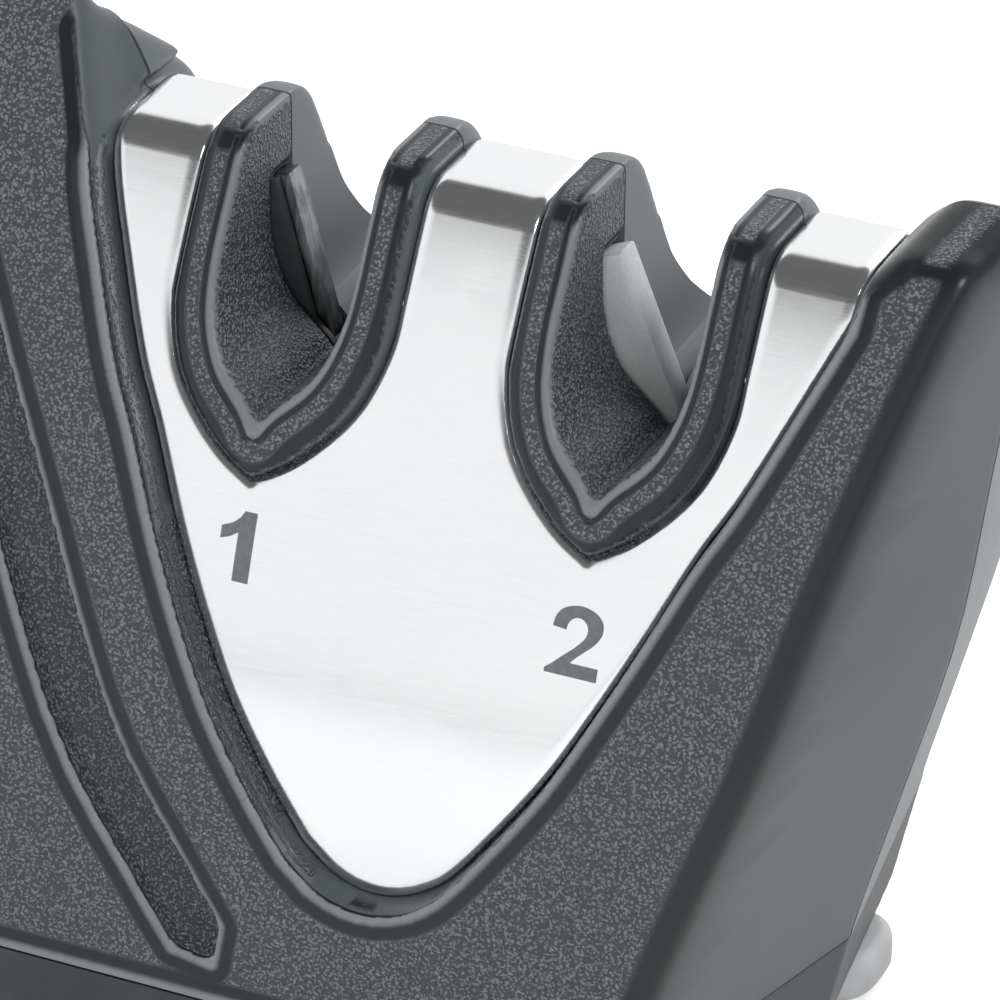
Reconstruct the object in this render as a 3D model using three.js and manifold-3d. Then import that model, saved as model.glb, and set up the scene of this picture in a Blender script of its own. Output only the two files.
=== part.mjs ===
// A hand-held two-stage knife sharpener: a tall head with two V-mouthed slots, a steel saddle
// plate over its front and top, and an arched handle that lands on its own foot.
// Millimetres, +Z up. The front, with the plate, faces -Y, and the handle runs to -X.

import * as THREE from "three";
import { mergeVertices } from "three/addons/utils/BufferGeometryUtils.js";
import Module from "manifold-3d";

const wasm = await Module();
wasm.setup();

// Clearances shared by every piece
const gap = 0.3;
const overrun = 40;
const weld = 1e-4;
const roundSides = 12;

// Head section, seen from the side: a curved A whose two faces swell down to the base
const topHeight = 82;
const frontCorner = 3.9;
const rearCorner = 5.4;
const swell = 22.2;
const swellHeight = 69.5;
const bendRun = 2.6;
const bendDrop = 2.2;
const sectionSteps = 14;

// Shells
const partingY = 3;
const rimProud = 3;
const rearProud = 3;
const crestRise = 9.5;
const crestRound = 3;
const crestHalf = 1.6;
const shoulderRise = 1.8;
const sideDraft = 8.2;
const rearDraft = 5.5;
const draftDepth = 34;
const headReach = 44.5;
const handleReach = 168;
const headDepth = 64;
const gripDepth = 39;
const gripMiddle = 0.75;
const gripRound = 16;
const gripFillet = 6;
const gripFilletDepth = 9;
const gripCore = 20;

// Finger space under the handle
const fingerStart = 50;
const postLong = 27;
const fingerHeight = 49;

// Steel saddle plate
const plateThick = 0.8;
const plateHalf = 33;
const plateHigh = 53.3;
const tabHalf = 4.2;
const tabDrop = 1.2;
const rearLip = 6;
const recessFlare = 0.35;
const recessDrop = 1;
const valleyLeft = 5;
const valleyRight = 9;

// Slots
const slotPitch = 30;
const slotHalf = 5.9;
const slotDeep = 19.4;
const collarWide = 3.8;
const collarTip = 4.1;
const collarProud = 1.3;
const collarEdge = 0.6;
const rearCollarDeep = 9.5;

// Decorative channel between the head's band and the handle
const channelWide = 5;
const channelDeep = 2.4;

// Holders and the bars that sharpen
const holderThick = 3.2;
const holderWeb = 0.6;
const holderHalf = 10.6;
const holderBelow = 12.5;
const holderFootDeep = 3;
const holderCorner = 2;
const carbideWide = 4.6;
const ceramicWide = 5.5;
const barOver = 0.8;
const coarseLeanAngle = 15.5;
const fineLeanAngle = 22;
const coarseMouth = 4.9;
const fineMouth = 4.7;
const mouthDeep = 4.8;
const barLong = 17.5;
const ceramicRound = 0.7;

// Screws
const shankRadius = 1.5;
const headRadius = 3;
const headHigh = 2;
const shellScrewBite = 9;
const shellScrewSink = 3.2;
const smallShank = 0.9;
const smallHead = 1.7;
const smallHeadHigh = 1.2;
const smallBite = 4;
const crossWide = 0.8;
const crossDeep = 0.9;

// Base tray, handle end cap and feet
const footHigh = 4;
const trayTopZ = 15.5;
const capTopZ = 12;
const footLong = 17;
const footWide = 11;
const footRound = 4;
const footFrontY = -18;
const footRearY = 20;
const footBevel = 0.8;
const plugRadius = 2.4;
const plugHigh = 2.2;
const padLong = 15;
const padWide = 26;
const baseScrewRise = 9;
const capScrewFrontY = -11;
const capScrewRearY = 12;

// Heights and places that follow from these
const crestHeight = topHeight + crestRise;
const fingerEnd = handleReach - postLong;
const plateTipZ = topHeight - plateHigh;
const slotTipZ = topHeight - slotDeep;
const mouthZ = topHeight - mouthDeep;
const rearCollarZ = topHeight - rearCollarDeep;

const white = new THREE.Color(0xf1f2f2);
const finishes = {
  shell: new THREE.MeshStandardMaterial({ color: 0x43484d, roughness: 0.62, metalness: 0 }),
  inner: new THREE.MeshStandardMaterial({ color: 0x24282c, roughness: 0.5, metalness: 0 }),
  steel: new THREE.MeshStandardMaterial({ color: white, roughness: 0.28, metalness: 1 }),
  carbide: new THREE.MeshStandardMaterial({ color: 0x6f7678, roughness: 0.4, metalness: 1 }),
  ceramic: new THREE.MeshStandardMaterial({ color: 0xc6caca, roughness: 0.45, metalness: 0 }),
  screw: new THREE.MeshStandardMaterial({ color: 0x9a9ea2, roughness: 0.35, metalness: 1 }),
  foot: new THREE.MeshStandardMaterial({ color: 0xbfc1c2, roughness: 0.7, metalness: 0 }),
};

// Solids from three.js geometries

function solid(geometry) {
  const bare = geometry.index ? geometry.toNonIndexed() : geometry.clone();
  bare.deleteAttribute("normal");
  bare.deleteAttribute("uv");
  const merged = mergeVertices(bare, weld);
  const mesh = new wasm.Mesh({
    numProp: 3,
    vertProperties: new Float32Array(merged.attributes.position.array),
    triVerts: new Uint32Array(merged.index.array),
  });
  return new wasm.Manifold(mesh);
}

function joined(pieces) {
  return pieces.reduce((sum, piece) => sum.add(piece));
}

const group = new THREE.Group();

function place(name, shape, finish) {
  const mesh = shape.getMesh();
  const geometry = new THREE.BufferGeometry();
  geometry.setAttribute("position", new THREE.BufferAttribute(mesh.vertProperties, 3));
  geometry.setIndex(new THREE.BufferAttribute(mesh.triVerts, 1));
  geometry.computeVertexNormals();
  const piece = new THREE.Mesh(geometry, finish);
  piece.name = name;
  group.add(piece);
}

// A prism whose outline is drawn in X and Z, from yLow to yHigh
function alongY(shape, yLow, yHigh, options = {}) {
  const ends = 2 * (options.bevelThickness ?? 0);
  const settings = { bevelEnabled: false, curveSegments: 3, ...options, depth: yHigh - yLow - ends };
  const geometry = new THREE.ExtrudeGeometry(shape, settings);
  geometry.rotateX(Math.PI / 2);
  geometry.translate(0, yHigh - ends / 2, 0);
  return geometry;
}

// A prism whose outline is drawn in Y and Z, from xLow to xHigh
function alongX(shape, xLow, xHigh) {
  const settings = { bevelEnabled: false, depth: xHigh - xLow, curveSegments: 5 };
  const geometry = new THREE.ExtrudeGeometry(shape, settings);
  const turn = new THREE.Matrix4().makeBasis(
    new THREE.Vector3(0, 1, 0), new THREE.Vector3(0, 0, 1), new THREE.Vector3(1, 0, 0));
  geometry.applyMatrix4(turn);
  geometry.translate(xLow, 0, 0);
  return geometry;
}

// A prism whose outline is drawn in X and Y, from zLow to zHigh
function alongZ(shape, zLow, zHigh, options = {}) {
  const ends = 2 * (options.bevelThickness ?? 0);
  const settings = { bevelEnabled: false, curveSegments: 4, ...options, depth: zHigh - zLow - ends };
  const geometry = new THREE.ExtrudeGeometry(shape, settings);
  geometry.translate(0, 0, zLow + ends / 2);
  return geometry;
}

function block(xLow, xHigh, yLow, yHigh, zLow, zHigh) {
  const geometry = new THREE.BoxGeometry(xHigh - xLow, yHigh - yLow, zHigh - zLow);
  geometry.translate((xLow + xHigh) / 2, (yLow + yHigh) / 2, (zLow + zHigh) / 2);
  return solid(geometry);
}

function scaled(shares, wide, high, x = 0, z = 0) {
  return shares.map(([u, v]) => new THREE.Vector2(x + u * wide, z + v * high));
}

// Head section

const reach = handleReach + overrun;

// Half depth of a face at height z, moved out by an offset square to the face
function faceDepth(z, corner, offset) {
  const below = (topHeight - z) / swellHeight;
  const slope = (2 * swell / swellHeight) * (1 - below);
  return corner + swell * (1 - (1 - below) ** 2) + offset * Math.hypot(1, slope);
}

function addFaces(shape, zTop, frontOffset, rearOffset, topLine) {
  const step = zTop / sectionSteps;
  shape.moveTo(-faceDepth(0, frontCorner, frontOffset), -gap);
  for (let i = 0; i <= sectionSteps; i += 1) {
    shape.lineTo(-faceDepth(i * step, frontCorner, frontOffset), i * step);
  }
  topLine(shape);
  for (let i = sectionSteps; i >= 0; i -= 1) {
    shape.lineTo(faceDepth(i * step, rearCorner, rearOffset), i * step);
  }
  shape.lineTo(faceDepth(0, rearCorner, rearOffset), -gap);
  return shape;
}

// The saddle that the plate follows: both faces, the bends and the top, which can rise to the rear
function saddle(offset, rise = 0) {
  const zTop = topHeight + offset;
  const zBend = zTop - bendDrop;
  const front = faceDepth(zTop, frontCorner, offset);
  const rear = faceDepth(zTop, rearCorner, offset);
  const shape = addFaces(new THREE.Shape(), zBend, offset, offset, (line) => {
    line.quadraticCurveTo(-front, zTop, -front + bendRun, zTop);
    line.lineTo(rear - bendRun, zTop + rise);
    line.quadraticCurveTo(rear, zTop + rise, faceDepth(zBend, rearCorner, offset), zBend);
  });
  return solid(alongX(shape, -reach, reach));
}

// The same A carried on up to the rounded crest, as the shells are moulded
function crestedSection() {
  const zTop = crestHeight - crestRound;
  const front = crestHalf * 2;
  const shape = addFaces(new THREE.Shape(), topHeight, rimProud, rearProud, (line) => {
    line.lineTo(-front, zTop);
    line.quadraticCurveTo(-crestHalf, crestHeight, (crestHalf - front) / 2, crestHeight);
    line.quadraticCurveTo(0, crestHeight, crestHalf, zTop);
  });
  return solid(alongX(shape, -reach, reach));
}

// Outlines seen from the front

const headBaseShare = 0.613;
const headSideShares = [[0.694, 0.195], [0.787, 0.378], [0.883, 0.573], [0.935, 0.756], [0.975, 0.91],
  [1, 1.02]];
const crestShares = [[0.27, 1.118], [0.37, 1.088], [0.506, 1.03], [0.6, 0.97]];

// The head, whose crest runs down to the left into the grip
function headOutline() {
  const shape = new THREE.Shape();
  const side = scaled(headSideShares, headReach, topHeight);
  const corner = side[side.length - 1];
  shape.moveTo(headReach * headBaseShare, 0);
  shape.splineThru(side);
  shape.quadraticCurveTo(corner.x, crestHeight, corner.x - crestRound * 2, crestHeight);
  const crest = scaled(crestShares, -handleReach, topHeight);
  shape.lineTo(crest[0].x, crest[0].y);
  shape.splineThru(crest.slice(1));
  shape.lineTo(crest[crest.length - 1].x, 0);
  shape.closePath();
  return shape;
}

const gripRootShare = 0.25;
const gripBaseShare = 0.99;
const gripShares = [[0.262, 0.7], [0.305, 0.92], [0.38, 1.02], [0.506, 1.042], [0.685, 1.005], [0.833, 0.925],
  [0.938, 0.765], [0.99, 0.51], [1, 0.22]];

// The grip, full and round across, which grows out of the head and comes down at its far end
function grip() {
  const top = scaled(gripShares, -handleReach, topHeight);
  const root = -handleReach * gripRootShare;
  const shape = new THREE.Shape();
  shape.moveTo(root, -overrun);
  shape.lineTo(root, topHeight / 2);
  shape.splineThru(top);
  shape.lineTo(-handleReach * gripBaseShare, -overrun);
  shape.closePath();
  return solid(alongY(shape, gripMiddle - gripDepth / 2, gripMiddle + gripDepth / 2, {
    bevelEnabled: true, bevelSize: gripRound, bevelOffset: -gripRound, bevelThickness: gripRound,
    bevelSegments: 5,
  }));
}

// The outer side draws in from the parting plane towards the front and the rear
function draftedHead() {
  const geometry = alongY(headOutline(), partingY - draftDepth, partingY + draftDepth, { steps: 2 });
  const spots = geometry.attributes.position;
  for (let i = 0; i < spots.count; i += 1) {
    const away = (spots.getY(i) - partingY) / draftDepth;
    const draft = away < 0 ? -away * sideDraft : away * rearDraft;
    if (spots.getX(i) > 0) spots.setX(i, spots.getX(i) - draft);
  }
  return solid(geometry);
}

const fingerShares = [[1, 0], [0.995, 0.28], [0.955, 0.62], [0.85, 0.88], [0.68, 0.985], [0.45, 1],
  [0.25, 0.95], [0.11, 0.76], [0.035, 0.44], [0, 0]];

function fingerSpace() {
  const long = fingerEnd - fingerStart;
  const points = scaled(fingerShares, -long, fingerHeight, -fingerStart);
  const shape = new THREE.Shape();
  shape.moveTo(points[0].x, -overrun);
  shape.lineTo(points[0].x, points[0].y);
  shape.splineThru(points.slice(1));
  shape.lineTo(points[points.length - 1].x, -overrun);
  shape.closePath();
  const flare = {
    bevelEnabled: true, bevelSize: -gripFillet, bevelOffset: gripFillet, bevelThickness: gripFilletDepth,
    bevelSegments: 4, steps: 1,
  };
  const core = gripCore / 2 + gripFilletDepth;
  const flared = solid(alongY(shape, gripMiddle - core, gripMiddle + core, flare));
  return flared.add(solid(alongY(shape, -headDepth, headDepth)));
}

// The head narrows in plan until the grip swallows it
const shoulderShare = 0.85;
const waistShare = 1.9;

function headPlan() {
  const head = headDepth / 2;
  const waistHalf = gripDepth / 2 - 2 * gap;
  const shape = new THREE.Shape();
  const shoulder = -headReach * shoulderShare;
  const waist = -headReach * waistShare;
  const bow = (shoulder + waist) / 2;
  shape.moveTo(overrun + headReach, -head);
  shape.lineTo(overrun + headReach, head + gripMiddle);
  shape.lineTo(shoulder, head + gripMiddle);
  shape.bezierCurveTo(bow, head + gripMiddle, bow, waistHalf + gripMiddle, waist, waistHalf + gripMiddle);
  shape.lineTo(waist - waistHalf, gripMiddle);
  shape.lineTo(waist, gripMiddle - waistHalf);
  shape.bezierCurveTo(bow, gripMiddle - waistHalf, bow, -head, shoulder, -head);
  shape.closePath();
  return solid(alongZ(shape, -overrun, topHeight + overrun));
}

const plateShares = [[0.995, 0.94], [0.904, 0.81], [0.817, 0.69], [0.733, 0.595], [0.631, 0.46],
  [0.529, 0.335], [0.433, 0.228], [0.316, 0.124], [0.204, 0.036]];

// The plate's V as seen from the front, grown by a clearance
function plateOutline(grow) {
  const high = topHeight - plateTipZ;
  const right = scaled(plateShares, plateHalf, high, 0, plateTipZ);
  const grown = right.map((p) => new THREE.Vector2(p.x + grow, p.y - grow / 2));
  const tabZ = plateTipZ - tabDrop - grow;
  const shape = new THREE.Shape();
  shape.moveTo(plateHalf + grow, topHeight + overrun);
  shape.lineTo(-plateHalf - grow, topHeight + overrun);
  shape.lineTo(-plateHalf - grow, topHeight);
  shape.splineThru(grown.map((p) => new THREE.Vector2(-p.x, p.y)));
  shape.lineTo(-tabHalf - grow, plateTipZ - grow);
  shape.quadraticCurveTo(-tabHalf / 2, tabZ, 0, tabZ);
  shape.quadraticCurveTo(tabHalf / 2, tabZ, tabHalf + grow, plateTipZ - grow);
  shape.splineThru(grown.slice().reverse());
  shape.lineTo(plateHalf + grow, topHeight);
  shape.closePath();
  return shape;
}

const tipShare = 1.3;
const slotShares = [[0.2, 0.08], [0.66, 0.216], [0.915, 0.387], [1, 0.577], [1, 0.8]];
const collarShares = [[0.31, 0.072], [0.62, 0.187], [0.845, 0.315], [0.985, 0.49], [1, 0.66], [1, 0.87]];

// A pointed bowl with upright sides, open at the top; grow widens it all round
function bowlShape(x, shares, half, tipZ, grow) {
  const wide = half + grow;
  const low = tipZ - grow * tipShare;
  const right = scaled(shares, wide, topHeight - low, x, low);
  const left = right.map((p) => new THREE.Vector2(2 * x - p.x, p.y)).reverse();
  const shape = new THREE.Shape();
  shape.moveTo(x + wide, topHeight + overrun);
  shape.lineTo(x - wide, topHeight + overrun);
  shape.lineTo(left[0].x, left[0].y);
  shape.splineThru([...left.slice(1), new THREE.Vector2(x, low)]);
  shape.splineThru(right);
  shape.closePath();
  return shape;
}

// The knife's way through the shells
function slotShape(x, grow = 0) {
  return bowlShape(x, slotShares, slotHalf, slotTipZ, grow);
}

// The outside of the collar round it
function collarShape(x, grow = 0) {
  return bowlShape(x, collarShares, slotHalf + collarWide, slotTipZ - collarTip, grow);
}

const slots = [-slotPitch / 2, slotPitch / 2];
const far = headDepth;

const seat = saddle(-plateThick - gap);
const plateFace = saddle(0);

// The V and its rear lip, as a region that the plate or its recess fills
function plateRegion(grow) {
  const front = solid(alongY(plateOutline(grow), -far, gripMiddle));
  const half = plateHalf + grow;
  const lip = block(-half, half, 0, far, topHeight - rearLip - grow, topHeight + grow);
  return front.add(lip);
}

// The recess's wall: the V flares and drops a little as it comes forward, sheared to follow the face
function recessWall() {
  const deep = rimProud * 2;
  const geometry = alongY(plateOutline(gap), -deep * 2, deep * 2, {
    bevelEnabled: true, bevelSize: recessFlare * 2, bevelOffset: 0, bevelThickness: deep, bevelSegments: 1,
  });
  const spots = geometry.attributes.position;
  for (let i = 0; i < spots.count; i += 1) {
    const z = Math.min(spots.getZ(i), topHeight);
    const drop = recessDrop * (deep - spots.getY(i)) / rimProud;
    spots.setY(i, spots.getY(i) - deep * 2 - faceDepth(z, frontCorner, 0) + plateThick);
    if (z < topHeight) spots.setZ(i, z - drop);
  }
  return solid(geometry);
}

const valleyOpenShare = 0.17;

// Above the plate the shells open into a valley with leaning walls. The guard at the left also opens
// towards the front.
function valley() {
  const half = plateHalf + gap;
  const high = crestHeight + gap;
  const shape = new THREE.Shape();
  shape.moveTo(-half, topHeight - plateThick - gap);
  shape.lineTo(half, topHeight - plateThick - gap);
  shape.lineTo(half, topHeight);
  shape.lineTo(half + valleyRight, high);
  shape.lineTo(-half - valleyLeft, high);
  shape.lineTo(-half, topHeight);
  shape.closePath();
  const geometry = alongY(shape, -far, far);
  const spots = geometry.attributes.position;
  for (let i = 0; i < spots.count; i += 1) {
    const open = valleyOpenShare * (rearCorner - spots.getY(i));
    if (spots.getX(i) < 0 && spots.getZ(i) > topHeight - weld) spots.setX(i, spots.getX(i) - open);
  }
  return solid(geometry);
}

// Right of the plate the top is a low shoulder, bent over like the plate
function aboveShoulder() {
  const above = block(0, reach, -far, far, topHeight - bendDrop, topHeight + overrun);
  return above.subtract(saddle(rimProud + gap, shoulderRise));
}

// Collars: a raised rim round each slot, in two steps that round its edge
function collars() {
  const tall = saddle(collarProud);
  const shoulder = saddle(collarProud - collarEdge);
  const rings = slots.map((x) => {
    const wide = solid(alongY(collarShape(x), -far, far));
    const slim = solid(alongY(collarShape(x, -collarEdge), -far, far));
    return wide.intersect(shoulder).add(slim.intersect(tall));
  });
  const rear = block(-headReach, headReach, 0, far, 0, rearCollarZ);
  return joined(rings).subtract(rear).subtract(block(-headReach, headReach, -far, far, -gap, slotTipZ / 2));
}

const channelShares = [[1.1, 0.98], [0.98, 0.86], [0.77, 0.66], [0.58, 0.453], [0.425, 0.335],
  [0.328, 0.262]];

// The channel follows the outside of the head's band
function channel() {
  const line = new THREE.SplineCurve(scaled(channelShares, -headReach, topHeight));
  const steps = 14;
  const near = [];
  const away = [];
  for (let i = 0; i <= steps; i += 1) {
    const point = line.getPoint(i / steps);
    const way = line.getTangent(i / steps);
    const side = new THREE.Vector2(-way.y, way.x).multiplyScalar(channelWide / 2);
    near.push(point.clone().add(side));
    away.push(point.clone().sub(side));
  }
  const end = line.getPoint(1).add(line.getTangent(1).multiplyScalar(channelWide / 2));
  const start = line.getPoint(0).sub(line.getTangent(0).multiplyScalar(channelWide / 2));
  const shape = new THREE.Shape();
  shape.moveTo(near[0].x, near[0].y);
  near.slice(1).forEach((p) => shape.lineTo(p.x, p.y));
  shape.lineTo(end.x, end.y);
  away.reverse().forEach((p) => shape.lineTo(p.x, p.y));
  shape.lineTo(start.x, start.y);
  shape.closePath();
  return solid(alongY(shape, -far, 0)).subtract(saddle(rimProud - channelDeep));
}

// Screws along Y, driven from the rear
const headScrewShares = [[0.52, 0.3], [-0.72, 0.3], [0.82, 0.86], [-1.06, 0.86]];
const gripScrewShares = [[0.596, 0.76], [0.914, 0.42]];

function screwSpots() {
  const inHead = scaled(headScrewShares, headReach, topHeight);
  return [...inHead, ...scaled(gripScrewShares, -handleReach, topHeight)];
}

function screwSeatY(z) {
  const face = Math.min(faceDepth(z, rearCorner, rearProud), gripDepth / 2 + gripMiddle);
  return face - shellScrewSink - headHigh;
}

function pin(radius, low, high) {
  const geometry = new THREE.CylinderGeometry(radius, radius, high - low, roundSides);
  geometry.translate(0, (low + high) / 2, 0);
  return geometry;
}

const crossShare = 1.1;

// A pan-head screw along +Y with its head at the far end; seatAt is the underside of the head
function screwSolid(shank, head, headTall, tipY, seatAt, grow) {
  const top = seatAt + headTall;
  const stem = solid(pin(shank + grow, tipY - grow, (seatAt + top) / 2));
  const body = stem.add(solid(pin(head + grow, seatAt - grow, top)));
  if (grow > 0) return body;
  const cross = [0, Math.PI / 2].map((angle) => {
    const bar = new THREE.BoxGeometry(head * crossShare, crossDeep * 2, crossWide);
    bar.rotateY(angle);
    bar.translate(0, top, 0);
    return solid(bar);
  });
  return body.subtract(joined(cross));
}

function shellScrewSet(grow) {
  return screwSpots().map((p) =>
    screwSolid(shankRadius, headRadius, headHigh, -shellScrewBite, screwSeatY(p.y), grow)
      .translate(p.x, 0, p.y));
}

function shellScrewWells() {
  const wells = screwSpots().map((p) =>
    solid(pin(headRadius + gap, screwSeatY(p.y), far)).translate(p.x, 0, p.y));
  return joined(wells).add(joined(shellScrewSet(gap)));
}

// Holders: a foot below each slot with an arm up the side that its bar comes from, on both sides of
// the parting plane, where each sits in a pocket of its shell
const frontHolder = { low: partingY - gap / 2 - holderThick, high: partingY - gap / 2 };
const rearHolder = { low: partingY + gap / 2, high: partingY + gap / 2 + holderThick };

// Side is -1 for the arm on the left
function holderOutline(x, side, grow) {
  const outer = side * (holderHalf + grow);
  const inner = -side * (holderHalf + grow);
  const low = slotTipZ - holderBelow - grow;
  const high = mouthZ + grow;
  const foot = slotTipZ - holderFootDeep + grow;
  const corner = side * holderCorner;
  const shape = new THREE.Shape();
  shape.moveTo(x + outer - corner, low);
  shape.lineTo(x + inner + corner, low);
  shape.lineTo(x + inner, low + holderCorner);
  shape.lineTo(x + inner, foot);
  shape.lineTo(x - side * grow, foot);
  shape.lineTo(x - side * grow, high);
  shape.lineTo(x + outer, high);
  shape.lineTo(x + outer, low + holderCorner);
  shape.closePath();
  return shape;
}

// The carbide bars lie behind a web; the ceramic ones fill a window through their holder
const stages = [
  {
    name: "coarse", x: slots[0], lean: coarseLeanAngle, mouth: coarseMouth,
    bar: "carbide", wide: carbideWide, round: 0, web: holderWeb + gap, through: 0,
  },
  {
    name: "fine", x: slots[1], lean: fineLeanAngle, mouth: fineMouth,
    bar: "ceramic", wide: ceramicWide, round: ceramicRound, web: 0, through: overrun,
  },
];

// Points beside a bar's working edge, which starts at the mouth and runs inwards as it goes down.
// Side is -1 for the bar that comes from the left wall.
function besideEdge(stage, side, corners) {
  const cos = Math.cos(stage.lean * Math.PI / 180);
  const sin = Math.sin(stage.lean * Math.PI / 180);
  return new THREE.Shape(corners.map(([across, up]) => new THREE.Vector2(
    stage.x + side * (stage.mouth + across * cos + up * sin), mouthZ + up * cos - across * sin)));
}

function barSolid(stage, side, yLow, yHigh, grow) {
  const wide = stage.wide + grow;
  const low = -barLong - grow;
  const shape = besideEdge(stage, side, [[-grow, grow], [wide, grow], [wide, low], [-grow, low]]);
  const round = grow > 0 ? 0 : stage.round;
  const options = round > 0
    ? { bevelEnabled: true, bevelSize: round, bevelOffset: -round, bevelThickness: round, bevelSegments: 2 }
    : {};
  return solid(alongY(shape, yLow, yHigh, options));
}

// The knife's way through a holder: the slot, less the web that carries the bar on its own side
function holderMouth(stage, side, yLow, yHigh) {
  const way = solid(alongY(slotShape(stage.x, gap), yLow - overrun, yHigh + overrun));
  const deep = -barLong * 2;
  const corners = [[barOver, 0], [holderHalf, 0], [holderHalf, deep], [barOver, deep]];
  const beside = besideEdge(stage, side, corners);
  return way.subtract(solid(alongY(beside, yLow - 2 * overrun, yHigh + 2 * overrun)));
}

const holderScrewShare = 0.66;

function holderSpots(x) {
  const z = slotTipZ - holderBelow + holderCorner + smallHead;
  const away = holderHalf * holderScrewShare;
  return [[x - away, z], [x + away, z]];
}

function holderScrewSet(grow) {
  return stages.flatMap((stage) => holderSpots(stage.x).map(([x, z]) =>
    screwSolid(smallShank, smallHead, smallHeadHigh, frontHolder.low - smallBite, rearHolder.high + gap, grow)
      .translate(x, 0, z)));
}

function pockets() {
  const pieces = stages.flatMap((stage) => [
    { side: -1, low: frontHolder.low - gap, high: partingY },
    { side: 1, low: partingY, high: rearHolder.high + gap },
  ].map(({ side, low, high }) =>
    solid(alongY(holderOutline(stage.x, side, gap), low, high)).add(barSolid(stage, side, low, high, gap))));
  return joined(pieces);
}

// Base tray, end cap and feet
const trayLeft = -fingerStart + gap;
const footLeftX = trayLeft + footLong / 2 + footRound;
const footFrontRightShare = 0.3;
const footRearRightShare = 0.42;
const footSpots = [
  { name: "foot_front_left", x: footLeftX, y: footFrontY },
  { name: "foot_front_right", x: headReach * footFrontRightShare, y: footFrontY },
  { name: "foot_rear_left", x: footLeftX, y: footRearY },
  { name: "foot_rear_right", x: headReach * footRearRightShare, y: footRearY },
];

function footOutline(long, wide, round, grow) {
  const a = long / 2 + grow;
  const b = wide / 2 + grow;
  const r = round + grow;
  const shape = new THREE.Shape();
  shape.moveTo(-a + r, -b);
  shape.lineTo(a - r, -b);
  shape.absarc(a - r, -b + r, r, -Math.PI / 2, 0, false);
  shape.lineTo(a, b - r);
  shape.absarc(a - r, b - r, r, 0, Math.PI / 2, false);
  shape.lineTo(-a + r, b);
  shape.absarc(-a + r, b - r, r, Math.PI / 2, Math.PI, false);
  shape.lineTo(-a, -b + r);
  shape.absarc(-a + r, -b + r, r, Math.PI, Math.PI * 1.5, false);
  return shape;
}

function upright(radius, low, high, sides = roundSides) {
  const geometry = new THREE.CylinderGeometry(radius, radius, high - low, sides);
  geometry.rotateX(Math.PI / 2);
  geometry.translate(0, 0, (low + high) / 2);
  return geometry;
}

function footSolid(long, wide, x, y) {
  const pad = alongZ(footOutline(long, wide, footRound, 0), 0, footHigh, {
    bevelEnabled: true, bevelSize: footBevel, bevelOffset: -footBevel, bevelThickness: footBevel,
    bevelSegments: 2,
  });
  const plug = upright(plugRadius, footHigh - gap, footHigh + gap + plugHigh);
  return solid(pad).add(solid(plug)).translate(x, y, 0);
}

// Base screws stand upright, with their heads sunk in the tray and the cap
const trayScrewShares = [-0.45, 0.02];
const capScrewX = (-handleReach - fingerEnd) / 2;
const baseScrews = [
  ...[footFrontY, footRearY].flatMap((y) =>
    trayScrewShares.map((share) => ({ x: share * headReach, y, top: trayTopZ }))),
  { x: capScrewX, y: capScrewRearY, top: capTopZ },
  { x: capScrewX, y: capScrewFrontY, top: capTopZ },
];

function baseScrewSet(grow) {
  const head = footHigh + gap + shellScrewSink;
  return baseScrews.map((spot) => {
    const tip = spot.top + baseScrewRise;
    const body = solid(upright(shankRadius + grow, head, tip + grow))
      .add(solid(upright(headRadius + grow, head - (grow > 0 ? overrun : 0), head + headHigh + grow)));
    if (grow > 0) return body.translate(spot.x, spot.y, 0);
    const cross = [0, Math.PI / 2].map((angle) => {
      const bar = new THREE.BoxGeometry(headRadius * crossShare, crossWide, crossDeep * 2);
      bar.rotateZ(angle);
      bar.translate(0, 0, head);
      return solid(bar);
    });
    return body.subtract(joined(cross)).translate(spot.x, spot.y, 0);
  });
}

// Assembly

const head = draftedHead().intersect(crestedSection()).intersect(headPlan()).subtract(aboveShoulder());
const aboveTable = block(-reach, reach, -far, far, 0, topHeight + overrun);
const blank = head.add(grip().intersect(aboveTable)).subtract(fingerSpace());

const slotWay = joined(slots.map((x) => solid(alongY(slotShape(x), -far, far))));
const recess = plateRegion(gap).subtract(seat).add(recessWall().subtract(seat));
const body = blank
  .subtract(recess)
  .subtract(valley())
  .subtract(channel())
  .add(collars())
  .subtract(slotWay);

const bottom = footHigh + gap;
const capRight = -fingerEnd - gap;
const trayZone = block(trayLeft - gap, headReach + overrun, -far, far, -overrun, trayTopZ);
const trayCut = block(trayLeft - overrun / 2, headReach + overrun, -far, far, -overrun, trayTopZ + gap);
const capZone = block(-reach, capRight + overrun / 2, -far, far, -overrun, capTopZ);
const capCut = block(-reach, capRight + overrun / 2, -far, far, -overrun, capTopZ + gap);
const aboveFeet = block(-reach, reach, -far, far, bottom, topHeight + overrun);

const plugs = joined(footSpots.map((foot) =>
  solid(upright(plugRadius + gap, 0, footHigh + plugHigh + 2 * gap)).translate(foot.x, foot.y, 0)));
const padX = capScrewX;
const padPlug = solid(upright(plugRadius + gap, 0, footHigh + plugHigh + 2 * gap))
  .translate(padX, gripMiddle, 0);
const baseHoles = joined(baseScrewSet(gap));
const holderHoles = joined(holderScrewSet(gap));

const shells = body.subtract(trayCut).subtract(capCut).subtract(pockets())
  .subtract(shellScrewWells()).subtract(holderHoles).subtract(baseHoles);

const frontHalf = block(-reach, reach, -far, partingY - gap / 2, -overrun, topHeight + overrun);
const rearHalf = block(-reach, reach, partingY + gap / 2, far, -overrun, topHeight + overrun);

place("front_shell", shells.intersect(frontHalf), finishes.shell);
place("rear_shell", shells.intersect(rearHalf), finishes.shell);

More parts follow.
